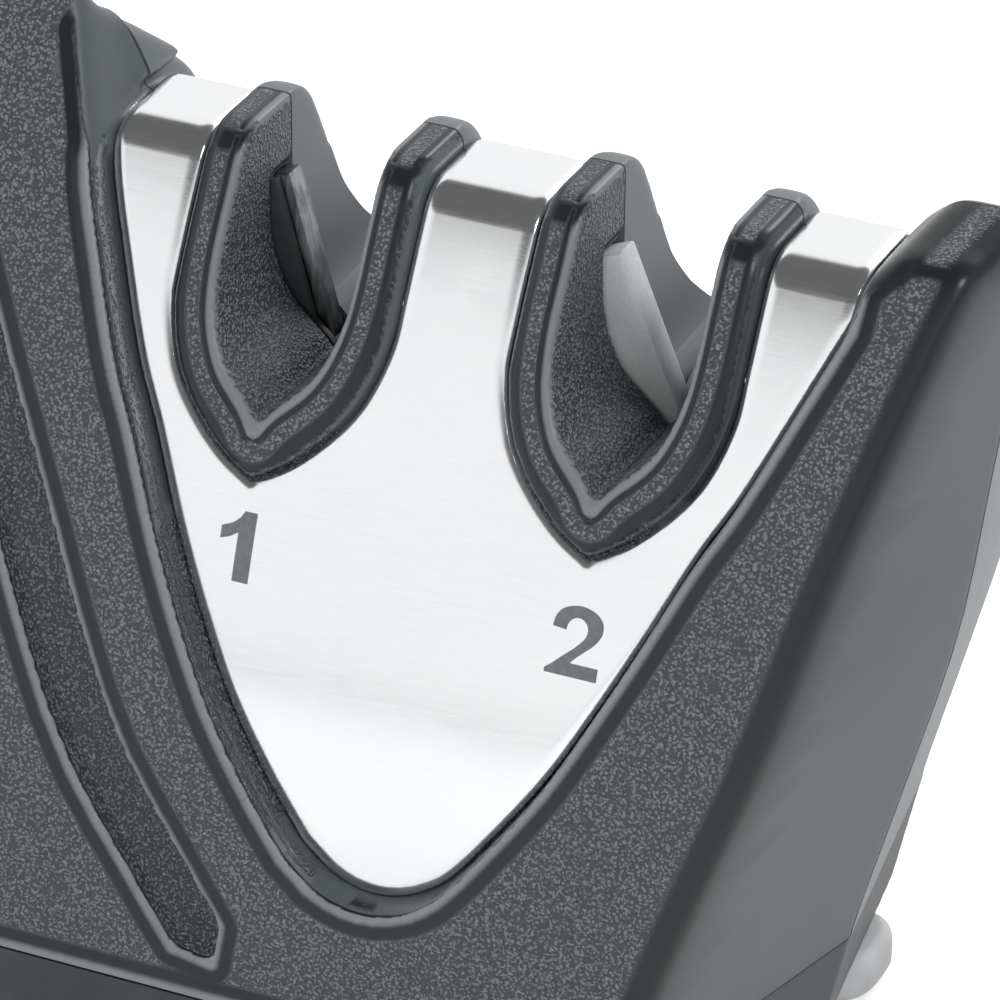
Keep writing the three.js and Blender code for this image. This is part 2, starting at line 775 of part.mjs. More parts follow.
const cutOuts = joined(slots.map((x) =>
  solid(alongY(collarShape(x, gap), -far, far))));
const cover = plateRegion(0).intersect(plateFace).subtract(saddle(-plateThick)).subtract(cutOuts);
place("steel_cover", cover, finishes.steel);

stages.forEach((stage) => {
  const frontBar = { low: frontHolder.low + stage.web, high: partingY - gap };
  const rearBar = { low: partingY + gap, high: rearHolder.high - stage.web };
  const sides = [
    { end: "front", side: -1, hand: "left", plate: frontHolder, spot: frontBar, cut: [stage.through, overrun] },
    { end: "rear", side: 1, hand: "right", plate: rearHolder, spot: rearBar, cut: [overrun, stage.through] },
  ];
  sides.forEach(({ end, side, hand, plate, spot, cut }) => {
    const bar = barSolid(stage, side, spot.low, spot.high, 0);
    const groove = barSolid(stage, side, spot.low - gap - cut[0], spot.high + gap + cut[1], gap);
    const plain = solid(alongY(holderOutline(stage.x, side, 0), plate.low, plate.high));
    const mouth = holderMouth(stage, side, plate.low, plate.high);
    const holder = plain.subtract(mouth).subtract(groove).subtract(holderHoles);
    place(`${stage.name}_holder_${end}`, holder, finishes.inner);
    place(`${stage.bar}_bar_${hand}`, bar, finishes[stage.bar]);
  });
});

function placeScrews(name, set) {
  set.forEach((screw, i) => place(`${name}_${i + 1}`, screw, finishes.screw));
}
placeScrews("holder_screw", holderScrewSet(0));
placeScrews("shell_screw", shellScrewSet(0));
placeScrews("base_screw", baseScrewSet(0));

const tray = blank.intersect(trayZone).intersect(aboveFeet).subtract(plugs).subtract(baseHoles);
place("base_tray", tray, finishes.inner);
const cap = blank.intersect(capZone).intersect(aboveFeet).subtract(padPlug).subtract(baseHoles);
place("handle_end_cap", cap, finishes.inner);

footSpots.forEach((foot) => {
  place(foot.name, footSolid(footLong, footWide, foot.x, foot.y), finishes.foot);
});
place("handle_foot", footSolid(padLong, padWide, padX, gripMiddle), finishes.foot);

// The origin is the middle of the whole box, on the table
const box = new THREE.Box3().setFromObject(group);
const middle = box.getCenter(new THREE.Vector3());
group.position.set(-middle.x, -middle.y, -box.min.z);
group.updateMatrixWorld(true);

export default group;
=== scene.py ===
"""A hand-held two-stage knife sharpener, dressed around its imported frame.

Everything is in metres, +Z up. The front, with the steel plate, faces -Y, and the handle runs to -X.
Sizes that say "across the head" are counted from the head's own axis and mid-plane, which HeadFrame
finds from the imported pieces.
"""

import logging
import math
from collections.abc import Iterable, Sequence
from dataclasses import dataclass, field
from enum import Enum

import bmesh
import bpy
import numpy as np
from mathutils import Matrix, Vector
from mathutils.kdtree import KDTree


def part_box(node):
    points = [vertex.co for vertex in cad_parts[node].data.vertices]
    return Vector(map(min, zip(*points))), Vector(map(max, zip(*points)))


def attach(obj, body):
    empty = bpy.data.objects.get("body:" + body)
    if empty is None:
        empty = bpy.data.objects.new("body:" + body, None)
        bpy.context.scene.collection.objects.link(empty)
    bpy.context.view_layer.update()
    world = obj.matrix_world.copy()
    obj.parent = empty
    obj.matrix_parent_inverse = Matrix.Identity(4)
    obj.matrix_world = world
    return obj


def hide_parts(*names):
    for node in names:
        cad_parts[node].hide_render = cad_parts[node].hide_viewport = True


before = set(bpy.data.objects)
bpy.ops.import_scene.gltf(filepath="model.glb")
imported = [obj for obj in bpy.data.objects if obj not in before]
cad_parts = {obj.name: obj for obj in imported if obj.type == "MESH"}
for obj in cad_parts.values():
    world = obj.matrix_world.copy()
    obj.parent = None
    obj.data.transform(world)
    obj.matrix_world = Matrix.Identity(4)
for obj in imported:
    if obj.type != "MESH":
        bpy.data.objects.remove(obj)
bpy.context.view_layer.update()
ROOT = "root"
MM = 0.001
log = logging.getLogger("sharpener")

Point = tuple[float, float]
Span = tuple[float, float]
NOISE_SPAN: Span = (0.3, 0.7)


# Frame and section


@dataclass(frozen=True)
class HeadFrame:
    """The head's own axis and mid-plane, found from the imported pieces."""

    axis_x: float
    parting_y: float
    mid_to_parting: float = 3 * MM

    @classmethod
    def from_pack(cls) -> "HeadFrame":
        """Reads the axis from the cover's box and the parting plane from the two shells.

        Returns:
            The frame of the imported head.
        """
        low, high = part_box("steel_cover")
        front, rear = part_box("front_shell")[1].y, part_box("rear_shell")[0].y
        return cls((low.x + high.x) / 2, (front + rear) / 2)

    @property
    def mid_y(self) -> float:
        """The plane that the head's section is measured from."""
        return self.parting_y - self.mid_to_parting

    def place(self, x: float, y: float, z: float) -> Vector:
        """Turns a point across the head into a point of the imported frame.

        Args:
            x: Across the head.
            y: Out of its mid-plane.
            z: Height.

        Returns:
            The point.
        """
        return Vector((x + self.axis_x, y + self.mid_y, z))


@dataclass(frozen=True)
class Section:
    """The curved A of the head, seen from the side: two faces that swell down to the base."""

    top: float = 82 * MM
    front_corner: float = 3.9 * MM
    rear_corner: float = 5.4 * MM
    swell: float = 22.2 * MM
    swell_height: float = 69.5 * MM
    bend_run: float = 2.6 * MM
    bend_drop: float = 2.2 * MM
    rear_run: float = 1.4 * MM
    rear_drop: float = 1.3 * MM
    crest_rise: float = 9.5 * MM
    crest_round: float = 3 * MM
    crest_half: float = 1.6 * MM
    inset: float = 0.02 * MM
    rim_proud: float = 3 * MM
    rear_proud: float = 3 * MM
    steps: int = 14

    def depth(self, z: np.ndarray | float, corner: float, offset: float) -> np.ndarray | float:
        """Half depth of a face at a height.

        Args:
            z: Height above the table.
            corner: Half depth at the top.
            offset: How far the face is moved out, square to itself.

        Returns:
            The distance from the mid-plane.
        """
        below = (self.top - z) / self.swell_height
        return corner + self.swell * (1 - (1 - below) ** 2) + offset * np.sqrt(1 + self.slope(z) ** 2)

    def slope(self, z: np.ndarray | float) -> np.ndarray | float:
        """How fast a face swells on its way down at a height."""
        return (2 * self.swell / self.swell_height) * (1 - (self.top - z) / self.swell_height)

    def faceted(self, z: np.ndarray, corner: float, offset: float) -> np.ndarray:
        """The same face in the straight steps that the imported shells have.

        Args:
            z: Heights above the table.
            corner: Half depth at the top.
            offset: How far the face is moved out.

        Returns:
            The distance from the mid-plane at each height.
        """
        knots = np.linspace(0, self.top, self.steps + 1)
        return np.interp(z, knots, self.depth(knots, corner, offset))

    def outline(self, offset: float, steps: int) -> list[Point]:
        """The plate's path in Y and Z, from the foot of the front face over the top to the rear.

        Args:
            offset: How far the path lies outside the plate's outer face.
            steps: Steps along each face.

        Returns:
            The path's points.
        """
        top = self.top + offset
        bend = top - self.bend_drop
        front = self.depth(top, self.front_corner, offset)
        rear = self.depth(top, self.rear_corner, offset)
        rise = np.linspace(0, bend, steps)
        path = [(-self.depth(z, self.front_corner, offset), z) for z in rise]
        path += quadratic(path[-1], (-front, top), (-front + self.bend_run, top), steps // 8)
        low = top - self.rear_drop
        path += quadratic((rear - self.rear_run, top), (rear, top),
                          (self.depth(low, self.rear_corner, offset), low), steps // 8)
        path += [(self.depth(z, self.rear_corner, offset), z) for z in np.linspace(low, 0, steps)[1:]]
        return path

    def crest(self, low: float, back: float) -> list[Point]:
        """The front shell's upper part in Y and Z: its face, the lean above it and the rounded crest.

        Args:
            low: Where the outline starts.
            back: How far back it reaches.

        Returns:
            The outline's points.
        """
        ridge = self.top + self.crest_rise
        shoulder = ridge - self.crest_round
        half = self.crest_half
        heights = np.linspace(low, self.top, 4)
        path = [(-out, z) for out, z in zip(self.faceted(heights, self.front_corner, self.rim_proud), heights)]
        path += quadratic((-2 * half, shoulder), (-half, ridge), (-half / 2, ridge), 6)
        path += quadratic((-half / 2, ridge), (0, ridge), (half, shoulder), 6)[1:]
        inside = [(y + self.inset, z - self.inset) for y, z in path]
        return [*inside, (back, shoulder - 0.3 * MM), (back, low)]


def quadratic(start: Point, middle: Point, end: Point, steps: int) -> list[Point]:
    """Points of a quadratic curve, without its start where that repeats the last point.

    Args:
        start: The curve's start.
        middle: The point that it bends towards.
        end: Its end.
        steps: How many straight steps it has.

    Returns:
        The curve's points, with both ends.
    """
    shares = np.linspace(0, 1, steps + 1)
    return [tuple((1 - t) ** 2 * np.array(start) + 2 * t * (1 - t) * np.array(middle) + t * t * np.array(end))
            for t in shares]


def spline(points: Sequence[Point], steps: int) -> list[Point]:
    """A smooth curve through points, in even steps between each two of them.

    Args:
        points: Points on the curve.
        steps: Steps between each two of them.

    Returns:
        The curve's points.
    """
    knots = [np.array(p, float) for p in points]
    last = len(knots) - 1
    made = []
    for i in range(last):
        before, a = knots[max(i - 1, 0)], knots[i]
        b, after = knots[i + 1], knots[min(i + 2, last)]
        leave, arrive = (b - before) / 2, (after - a) / 2
        for t in np.arange(steps) / steps:
            made.append(tuple((2 * a - 2 * b + leave + arrive) * t**3
                              + (-3 * a + 3 * b - 2 * leave - arrive) * t**2 + leave * t + a))
    made.append(tuple(knots[-1]))
    return made


@dataclass(frozen=True)
class FrontShapes:
    """The plate, slots and collars as they are drawn on the head, seen from the front."""

    top: float = 82 * MM
    plate_half: float = 33 * MM
    plate_tip: float = 28.7 * MM
    tab_half: float = 4.2 * MM
    tab_drop: float = 1.2 * MM
    slot_pitch: float = 30 * MM
    slot_half: float = 5.9 * MM
    slot_tip: float = 62.6 * MM
    collar_wide: float = 3.8 * MM
    collar_tip: float = 4.1 * MM
    tip_share: float = 1.3
    gap: float = 0.3 * MM
    above: float = 60 * MM
    plate_shares: tuple[Point, ...] = ((0.995, 0.94), (0.904, 0.81), (0.817, 0.69), (0.733, 0.595), (0.631, 0.46),
                                       (0.529, 0.335), (0.433, 0.228), (0.316, 0.124), (0.204, 0.036))
    slot_shares: tuple[Point, ...] = ((0.2, 0.08), (0.66, 0.216), (0.915, 0.387), (1, 0.577), (1, 0.8))
    collar_shares: tuple[Point, ...] = ((0.31, 0.072), (0.62, 0.187), (0.845, 0.315), (0.985, 0.49),
                                        (1, 0.66), (1, 0.87))

    @property
    def slots(self) -> tuple[float, float]:
        """Where the two slots are, across the head."""
        return (-self.slot_pitch / 2, self.slot_pitch / 2)

    def plate(self) -> list[Point]:
        """The plate's V, open towards the top.

        Returns:
            The outline's points.
        """
        high = self.top - self.plate_tip
        right = [(u * self.plate_half, self.plate_tip + v * high) for u, v in self.plate_shares]
        left = [(-x, z) for x, z in right]
        tab = self.plate_tip - self.tab_drop
        corner = (self.tab_half, self.plate_tip)
        points = [(self.plate_half, self.top + self.above), (-self.plate_half, self.top + self.above)]
        points += spline([(-self.plate_half, self.top), *left], 12)
        points += quadratic((-self.tab_half, self.plate_tip), (-self.tab_half / 2, tab), (0, tab), 8)
        points += quadratic((0, tab), (self.tab_half / 2, tab), corner, 8)[1:-1]
        points += spline([corner, *right[::-1]], 12)
        return points + [(self.plate_half, self.top)]

    def slot(self, x: float) -> list[Point]:
        """A slot's outline."""
        return self._bowl(x, self.slot_shares, self.slot_half, self.slot_tip, 0)

    def notch(self, x: float) -> list[Point]:
        """The plate's notch round a slot: a collar's outline grown by the gap."""
        return self._bowl(x, self.collar_shares, self.slot_half + self.collar_wide,
                          self.slot_tip - self.collar_tip, self.gap)

    def _bowl(self, x: float, shares: Sequence[Point], half: float, tip: float, grow: float) -> list[Point]:
        """A pointed bowl with upright sides, open towards the top.

        Args:
            x: The bowl's middle.
            shares: Its right side, as shares of its half width and height.
            half: Its half width.
            tip: The height of its point.
            grow: How far it is grown.

        Returns:
            The outline's points.
        """
        wide = half + grow
        low = tip - grow * self.tip_share
        high = self.top - low
        right = [(x + u * wide, low + v * high) for u, v in shares]
        left = [(2 * x - px, pz) for px, pz in right[::-1]]
        down = spline([*left, (x, low)], 10)
        up = spline([(x, low), *right], 10)
        return [(x + wide, self.top + self.above), (x - wide, self.top + self.above), *down[:-1], *up]


# Mesh helpers


def link(name: str, mesh: bpy.types.Mesh) -> bpy.types.Object:
    """A new object with that mesh, at the origin, in the scene.

    Args:
        name: The object's name.
        mesh: Its mesh.

    Returns:
        The object.
    """
    mesh.name = name
    obj = bpy.data.objects.new(name, mesh)
    bpy.context.scene.collection.objects.link(obj)
    return obj


def from_bmesh(name: str, bm: bmesh.types.BMesh) -> bpy.types.Object:
    """Writes a bmesh to a new object and frees it.

    Args:
        name: The object's name.
        bm: The bmesh, which is freed.

    Returns:
        The object.
    """
    mesh = bpy.data.meshes.new(name)
    bm.to_mesh(mesh)
    bm.free()
    return link(name, mesh)


def merged_copy(node: str, name: str) -> bpy.types.Object:
    """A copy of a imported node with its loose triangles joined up.

    Args:
        node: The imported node.
        name: The copy's name.

    Returns:
        The copy, as an object of its own.
    """
    bm = bmesh.new()
    bm.from_mesh(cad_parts[node].data)
    bmesh.ops.remove_doubles(bm, verts=bm.verts, dist=2e-6)
    return from_bmesh(name, bm)


def settle(obj: bpy.types.Object) -> None:
    """Applies every modifier and drops the vertex groups.

    Args:
        obj: The object.
    """
    graph = bpy.context.evaluated_depsgraph_get()
    mesh = bpy.data.meshes.new_from_object(obj.evaluated_get(graph), depsgraph=graph)
    obj.modifiers.clear()
    obj.vertex_groups.clear()
    old = obj.data
    obj.data = mesh
    mesh.name = obj.name
    bpy.data.meshes.remove(old)


def modifier(obj: bpy.types.Object, kind: str, **settings: object) -> bpy.types.Modifier:
    """Adds a modifier with its settings.

    Args:
        obj: The object.
        kind: The modifier's type.
        settings: Its settings by name.

    Returns:
        The modifier.
    """
    mod = obj.modifiers.new(kind.lower(), kind)
    for key, value in settings.items():
        setattr(mod, key, value)
    return mod


def break_edges(obj: bpy.types.Object, width: float, angle: float) -> None:
    """Rounds the edges that are sharper than an angle in degrees.

    Args:
        obj: The object.
        width: How wide the rounding is.
        angle: The angle in degrees past which an edge is rounded.
    """
    modifier(obj, "BEVEL", width=width, segments=2, limit_method="ANGLE", angle_limit=math.radians(angle))
    settle(obj)


def coordinates(mesh: bpy.types.Mesh) -> np.ndarray:
    """The mesh's vertex places as rows.

    Args:
        mesh: The mesh.

    Returns:
        One row of X, Y and Z for each vertex.
    """
    flat = np.zeros(len(mesh.vertices) * 3, np.float32)
    mesh.vertices.foreach_get("co", flat)
    return flat.reshape(-1, 3).astype(float)


def set_coordinates(mesh: bpy.types.Mesh, rows: np.ndarray) -> None:
    """Moves the mesh's vertices to new places."""
    mesh.vertices.foreach_set("co", rows.astype(np.float32).ravel())
    mesh.update()


def paint(mesh: bpy.types.Mesh, name: str, values: np.ndarray) -> None:
    """Stores one number for each vertex, which a material reads by name."""
    attribute = mesh.attributes.new(name, "FLOAT", "POINT")
    attribute.data.foreach_set("value", values.astype(np.float32))


def group_weights(obj: bpy.types.Object, name: str, weights: np.ndarray, levels: int = 20) -> None:
    """A vertex group with a few levels of weight, which is quicker to fill than one at a time.

    Args:
        obj: The object.
        name: The group's name.
        weights: A weight for each vertex.
        levels: How many levels of weight there are.
    """
    group = obj.vertex_groups.new(name=name)
    level = np.rint(np.clip(weights, 0, 1) * levels).astype(int)
    for step in range(1, levels + 1):
        group.add(np.nonzero(level == step)[0].tolist(), step / levels, "REPLACE")


def smooth_shade(obj: bpy.types.Object, angle: float | None = None) -> None:
    """Smooth shading, broken at edges sharper than an angle in degrees where one is given.

    Args:
        obj: The object.
        angle: The angle, or nothing for no break.
    """
    obj.data.polygons.foreach_set("use_smooth", np.ones(len(obj.data.polygons), bool))
    if angle is not None:
        obj.data.set_sharp_from_angle(angle=math.radians(angle))
    obj.data.update()


def lengthwise(start: Vector, end: Vector, step: float) -> list[Vector]:
    """Evenly spaced points from one end of a line to the other."""
    count = max(1, round((end - start).length / step))
    return [start.lerp(end, i / count) for i in range(count + 1)]


def tree_of(spots: Sequence[Vector]) -> KDTree:
    """A search tree over points.

    Args:
        spots: The points.

    Returns:
        The tree, which gives a point's number in their order.
    """
    tree = KDTree(len(spots))
    for i, spot in enumerate(spots):
        tree.insert(spot, i)
    tree.balance()
    return tree


def distances(tree: KDTree, rows: np.ndarray) -> np.ndarray:
    """How far each row is from the nearest point of a tree."""
    return np.array([tree.find(row)[2] for row in rows.tolist()])


def soft_step(values: np.ndarray, low: float, high: float) -> np.ndarray:
    """Rises smoothly from 0 at low to 1 at high.

    Args:
        values: The values.
        low: Where the rise starts.
        high: Where it ends.

    Returns:
        A share from 0 to 1 for each value.
    """
    share = np.clip((values - low) / (high - low), 0, 1)
    return share * share * (3 - 2 * share)


def prism(name: str, outline: Iterable[Point], low: float, high: float, turn: Matrix) -> bpy.types.Object:
    """A prism whose outline is drawn in its first two directions and pulled along the third.

    Args:
        name: The object's name.
        outline: The closed outline's points.
        low: Where the prism starts along the third direction.
        high: Where it ends.
        turn: Takes the three directions to X, Y and Z.

    Returns:
        The prism.
    """
    bm = bmesh.new()
    base = bm.faces.new([bm.verts.new((u, v, low)) for u, v in outline])
    pulled = bmesh.ops.extrude_face_region(bm, geom=[base])
    top = [v for v in pulled["geom"] if isinstance(v, bmesh.types.BMVert)]
    bmesh.ops.translate(bm, verts=top, vec=(0, 0, high - low))
    bmesh.ops.transform(bm, matrix=turn, verts=bm.verts)
    bmesh.ops.recalc_face_normals(bm, faces=bm.faces)
    return from_bmesh(name, bm)


ALONG_Y = Matrix(((1, 0, 0, 0), (0, 0, 1, 0), (0, 1, 0, 0), (0, 0, 0, 1)))
ALONG_X = Matrix(((0, 0, 1, 0), (1, 0, 0, 0), (0, 1, 0, 0), (0, 0, 0, 1)))


def cut(obj: bpy.types.Object, tool: bpy.types.Object, operation: str) -> None:
    """Joins, cuts or keeps the overlap of two solids, and removes the tool.

    Args:
        obj: The solid that is worked on.
        tool: The other solid.
        operation: The Boolean modifier's operation.
    """
    modifier(obj, "BOOLEAN", operation=operation, object=tool, solver="EXACT")
    settle(obj)
    mesh = tool.data
    bpy.data.objects.remove(tool)
    bpy.data.meshes.remove(mesh)


def finish_piece(obj: bpy.types.Object, slot: str, material: bpy.types.Material, *nodes: str) -> None:
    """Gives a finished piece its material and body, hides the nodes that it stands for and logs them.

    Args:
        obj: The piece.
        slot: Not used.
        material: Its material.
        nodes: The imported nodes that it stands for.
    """
    obj.data.materials.clear()
    obj.data.materials.append(material)
    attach(obj, ROOT)
    if nodes:
        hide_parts(*nodes)
    log.info("%s: %d faces for %s", obj.name, len(obj.data.polygons), ", ".join(nodes) or "no node")


# Shader nodes


@dataclass(frozen=True)
class Signal:
    """A node's output that Python expressions combine into Math nodes."""

    tree: "Tree"
    socket: bpy.types.NodeSocket

    def _math(self, operation: str, first: object, second: object) -> "Signal":
        """One Math node on two values or signals."""
        return self.tree.node("ShaderNodeMath", {"operation": operation}, {0: first, 1: second})

    def __add__(self, other: object) -> "Signal":
        """self + other."""
        return self._math("ADD", self, other)

    __radd__ = __add__

    def __sub__(self, other: object) -> "Signal":
        """self - other."""
        return self._math("SUBTRACT", self, other)

    def __rsub__(self, other: object) -> "Signal":
        """other - self."""
        return self._math("SUBTRACT", other, self)

    def __mul__(self, other: object) -> "Signal":
        """self * other."""
        return self._math("MULTIPLY", self, other)

    __rmul__ = __mul__


class Tree:
    """A node tree that is filled by one method."""

    def __init__(self, tree: bpy.types.NodeTree) -> None:
        """Empties the tree."""
        self.tree = tree
        tree.nodes.clear()

    def node(self, kind: str, settings: dict | None = None, sockets: dict | None = None,
             output: int | str = 0) -> Signal:
        """Adds one node.

        Args:
            kind: The node's type.
            settings: The node's own settings, which are set first; "stops" fills a ramp.
            sockets: Values or signals for its inputs, by name or number.
            output: Which output the signal reads.

        Returns:
            A signal on that output.
        """
        made = self.tree.nodes.new(kind)
        for key, value in (settings or {}).items():
            if key == "stops":
                self._fill_ramp(made.color_ramp, value)
            else:
                setattr(made, key, value)
        for key, value in (sockets or {}).items():
            socket = made.inputs[key]
            if isinstance(value, Signal):
                self.tree.links.new(value.socket, socket)
            else:
                socket.default_value = value
        return Signal(self, made.outputs[output]) if len(made.outputs) else None

    @staticmethod
    def _fill_ramp(ramp: bpy.types.ColorRamp, stops: Sequence[tuple[float, float]]) -> None:
        """Sets a grey ramp's stops from places and levels.

        Args:
            ramp: The ramp.
            stops: Each stop's place and level.
        """
        while len(ramp.elements) > len(stops):
            ramp.elements.remove(ramp.elements[-1])
        while len(ramp.elements) < len(stops):
            ramp.elements.new(1)
        for element, (place, level) in zip(ramp.elements, stops):
            element.position = place
            element.color = (level, level, level, 1)

    def place(self, scale: tuple[float, float, float] = (1, 1, 1)) -> Signal:
        """Object coordinates, stretched along the axes."""
        spot = self.node("ShaderNodeTexCoord", output="Object")
        return self.node("ShaderNodeMapping", {}, {"Vector": spot, "Scale": scale})

    def noise(self, scale: float, detail: float, stretch: tuple[float, float, float] = (1, 1, 1)) -> Signal:
        """Noise on object coordinates, which mostly stays within NOISE_SPAN."""
        return self.node("ShaderNodeTexNoise", {"noise_dimensions": "3D"},
                         {"Vector": self.place(stretch), "Scale": scale, "Detail": detail})

    def mixed(self, factor: object, low: object, high: object) -> Signal:
        """A mix of two colours, either of which may be a signal.

        Args:
            factor: The share of the second.
            low: The first colour.
            high: The second colour.

        Returns:
            The mixed colour.
        """
        ends = {slot: end if isinstance(end, Signal) else (*end, 1) for slot, end in ((6, low), (7, high))}
        return self.node("ShaderNodeMix", {"data_type": "RGBA"}, {0: factor, **ends}, output=2)

    def limit(self, value: Signal, low: float, high: float, to_low: float = 0, to_high: float = 1) -> Signal:
        """Maps a range to another, held at both ends."""
        return self.node("ShaderNodeMapRange", {"interpolation_type": "SMOOTHSTEP"},
                         {0: value, 1: low, 2: high, 3: to_low, 4: to_high})


class Material(Tree):
    """A material with one Principled shader."""

    def __init__(self, name: str, constants: dict[str, object]) -> None:
        """Makes the shader with values that are the same all over.

        Args:
            name: The material's name.
            constants: The shader's settings by socket.
        """
        self.material = bpy.data.materials.new(name)
        self.material.use_nodes = True
        super().__init__(self.material.node_tree)
        shader = self.node("ShaderNodeBsdfPrincipled", {}, constants)
        self.shader = shader.socket.node
        self.node("ShaderNodeOutputMaterial", {}, {"Surface": shader})

    def drive(self, **signals: Signal) -> bpy.types.Material:
        """Links signals to the shader's sockets, named with _ for a space, and returns the material.

        Args:
            signals: Signals by socket.

        Returns:
            The material.
        """
        for key, signal in signals.items():
            self.tree.links.new(signal.socket, self.shader.inputs[key.replace("_", " ")])
        return self.material

    def bump(self, height: Signal, distance: float, strength: float = 1) -> Signal:
        """A normal from a height in metres."""
        return self.node("ShaderNodeBump", {}, {"Strength": strength, "Distance": distance, "Height": height})


class Attribute(str, Enum):
    """Numbers painted on the vertices, which the materials read."""

    GRAIN = "grain"
    RIM = "from_rim"
    BEAD = "bead"
    COLLAR = "collar"
    # Where near-black is painted as dark reflection and shade.
    PAINTED_DARK_BAND = "painted_dark_band"


# Finishes


@dataclass(frozen=True)
class GrainedPlastic:
    """Dark moulded plastic with a crumpled leather grain, and plain where the mould is smooth.

    The painted numbers say where. Grain is the share of grain and collar that of the collars' rounded faces; one
    more share says where near-black is painted as dark reflection and shade, on smooth edges, bends and recess
    walls. Rim is the distance in millimetres from the edges drawn on the outer face, and bead the distance from
    the mouth of the nearest slot. A pale highlight is painted along the crests of those edges and mouths, and the
    grain's creases and crowns get a painted shade and highlight.
    """

    name: str = "shell_plastic"
    # The grain itself is one dark plastic; these two colours paint a shade in its creases and a highlight on its
    # crowns.
    painted_pit_shade: tuple[float, float, float] = (0.045, 0.053, 0.059)
    painted_crown_highlight: tuple[float, float, float] = (0.2, 0.222, 0.24)
    plain: tuple[float, float, float] = (0.088, 0.102, 0.111)
    # Near-black painted as dark reflection and shade on smooth edges, grooves, bends and recess walls.
    painted_shade_and_reflection: tuple[float, float, float] = (0.013, 0.016, 0.018)
    # A pale painted highlight along the crests of the rounded edges and the collars' mouths.
    painted_highlight: tuple[float, float, float] = (0.21, 0.228, 0.24)
    cells: float = 3400
    relief: Span = (0.2, 0.85)
    rough_grain: float = 0.38
    rough_plain: float = 0.40
    gloss: float = 0.08
    uneven: float = 0.1
    depth: float = 0.22 * MM
    haze: float = 0.006 * MM
    bead_groove: float = 0.16 * MM
    # The spans below are in millimetres from the rim edges and the slots' mouths. They place the grain, the dark
    # strips, grooves and shoulders painted as dark reflection, and the pale painted highlight on the crests.
    strip_from: Span = (0.65, 1.0)
    strip_to: Span = (1.75, 2.2)
    face_grain_from: Span = (1.8, 2.25)
    crest_highlight_to: Span = (0.35, 0.85)
    bead_highlight_to: Span = (0.5, 0.75)
    bead_highlight_share: float = 0.8
    groove_from: Span = (0.7, 0.85)
    groove_to: Span = (1.1, 1.3)
    collar_grain_from: Span = (1.15, 1.4)
    collar_grain_to: Span = (2.3, 2.6)
    shoulder_from: Span = (2.3, 2.7)

    def dress(self) -> bpy.types.Material:
        """Makes the material.

        Returns:
            The material.
        """
        made = Material(self.name, {"IOR": 1.5, "Specular IOR Level": 0.4})
        grain, rim, bead, collar, painted_dark_band = (
            made.node("ShaderNodeAttribute", {"attribute_name": name.value}, output="Fac")
            for name in (Attribute.GRAIN, Attribute.RIM, Attribute.BEAD, Attribute.COLLAR, Attribute.PAINTED_DARK_BAND))
        # Painted dark reflection: a strip beside the rim edges, a groove and the shoulder of each collar, and the
        # painted shares from the mesh, all darkened towards near-black.
        strip = made.limit(rim, *self.strip_from) * made.limit(rim, *self.strip_to, 1, 0)
        groove = collar * made.limit(bead, *self.groove_from) * made.limit(bead, *self.groove_to, 1, 0)
        shoulder = collar * made.limit(bead, *self.shoulder_from)
        # Painted highlight: a pale line along the crests of the rim edges and of the collars' mouths.
        painted_bead_highlight = collar * made.limit(bead, *self.bead_highlight_to, 1, 0) * self.bead_highlight_share
        crest = made.limit(rim, *self.crest_highlight_to, 1, 0) + painted_bead_highlight
        on_collar = made.limit(bead, *self.collar_grain_from) * made.limit(bead, *self.collar_grain_to, 1, 0)
        grain = grain * made.limit(rim, *self.face_grain_from) * (1 - collar + collar * on_collar) * (1 - painted_dark_band)
        dark = self._most(made, self._most(made, strip, shoulder), self._most(made, groove, painted_dark_band))
        pebble = self._pebble(made)
        # Painted shade in the grain's creases and painted highlight on its crowns, by the grain's height.
        colour = made.mixed(grain, self.plain, made.mixed(made.limit(pebble, *self.relief), self.painted_pit_shade, self.painted_crown_highlight))
        # The pale painted highlight on the crests.
        colour = made.mixed(crest, colour, self.painted_highlight)
        # Near-black painted dark reflection and shade.
        colour = made.mixed(dark, colour, self.painted_shade_and_reflection)
        wear = (made.noise(60, 4) - 0.5) * self.uneven
        rough = grain * (self.rough_grain - self.rough_plain) + (self.rough_plain - dark * self.gloss) + wear
        haze = made.noise(self.cells * 2, 2) * self.haze
        height = grain * pebble * self.depth + haze - groove * self.bead_groove
        return made.drive(Base_Color=colour, Roughness=rough, Normal=made.bump(height, 1))

    @staticmethod
    def _most(made: "Material", first: Signal, second: Signal) -> Signal:
        """The larger of two signals."""
        return made.node("ShaderNodeMath", {"operation": "MAXIMUM"}, {0: first, 1: second})

    def _pebble(self, made: "Material") -> Signal:
        """The height of the crumpled grain, from 0 in its creases to 1 on its crowns.

        Args:
            made: The material.

        Returns:
            The height.
        """
        warp = made.node("ShaderNodeTexNoise", {}, {"Vector": made.place(), "Scale": self.cells / 2, "Detail": 3},
                         output="Color")
        shifted = made.node("ShaderNodeVectorMath", {"operation": "MULTIPLY_ADD"},
                            {0: warp, 1: (0.45 * MM,) * 3, 2: made.place()})
        cells = made.node("ShaderNodeTexVoronoi", {"feature": "SMOOTH_F1"},
                          {"Vector": shifted, "Scale": self.cells, "Smoothness": 0.5})
        return made.limit(cells, 0.1, 0.72, 1, 0) * 0.65 + made.noise(self.cells * 1.9, 3) * 0.35


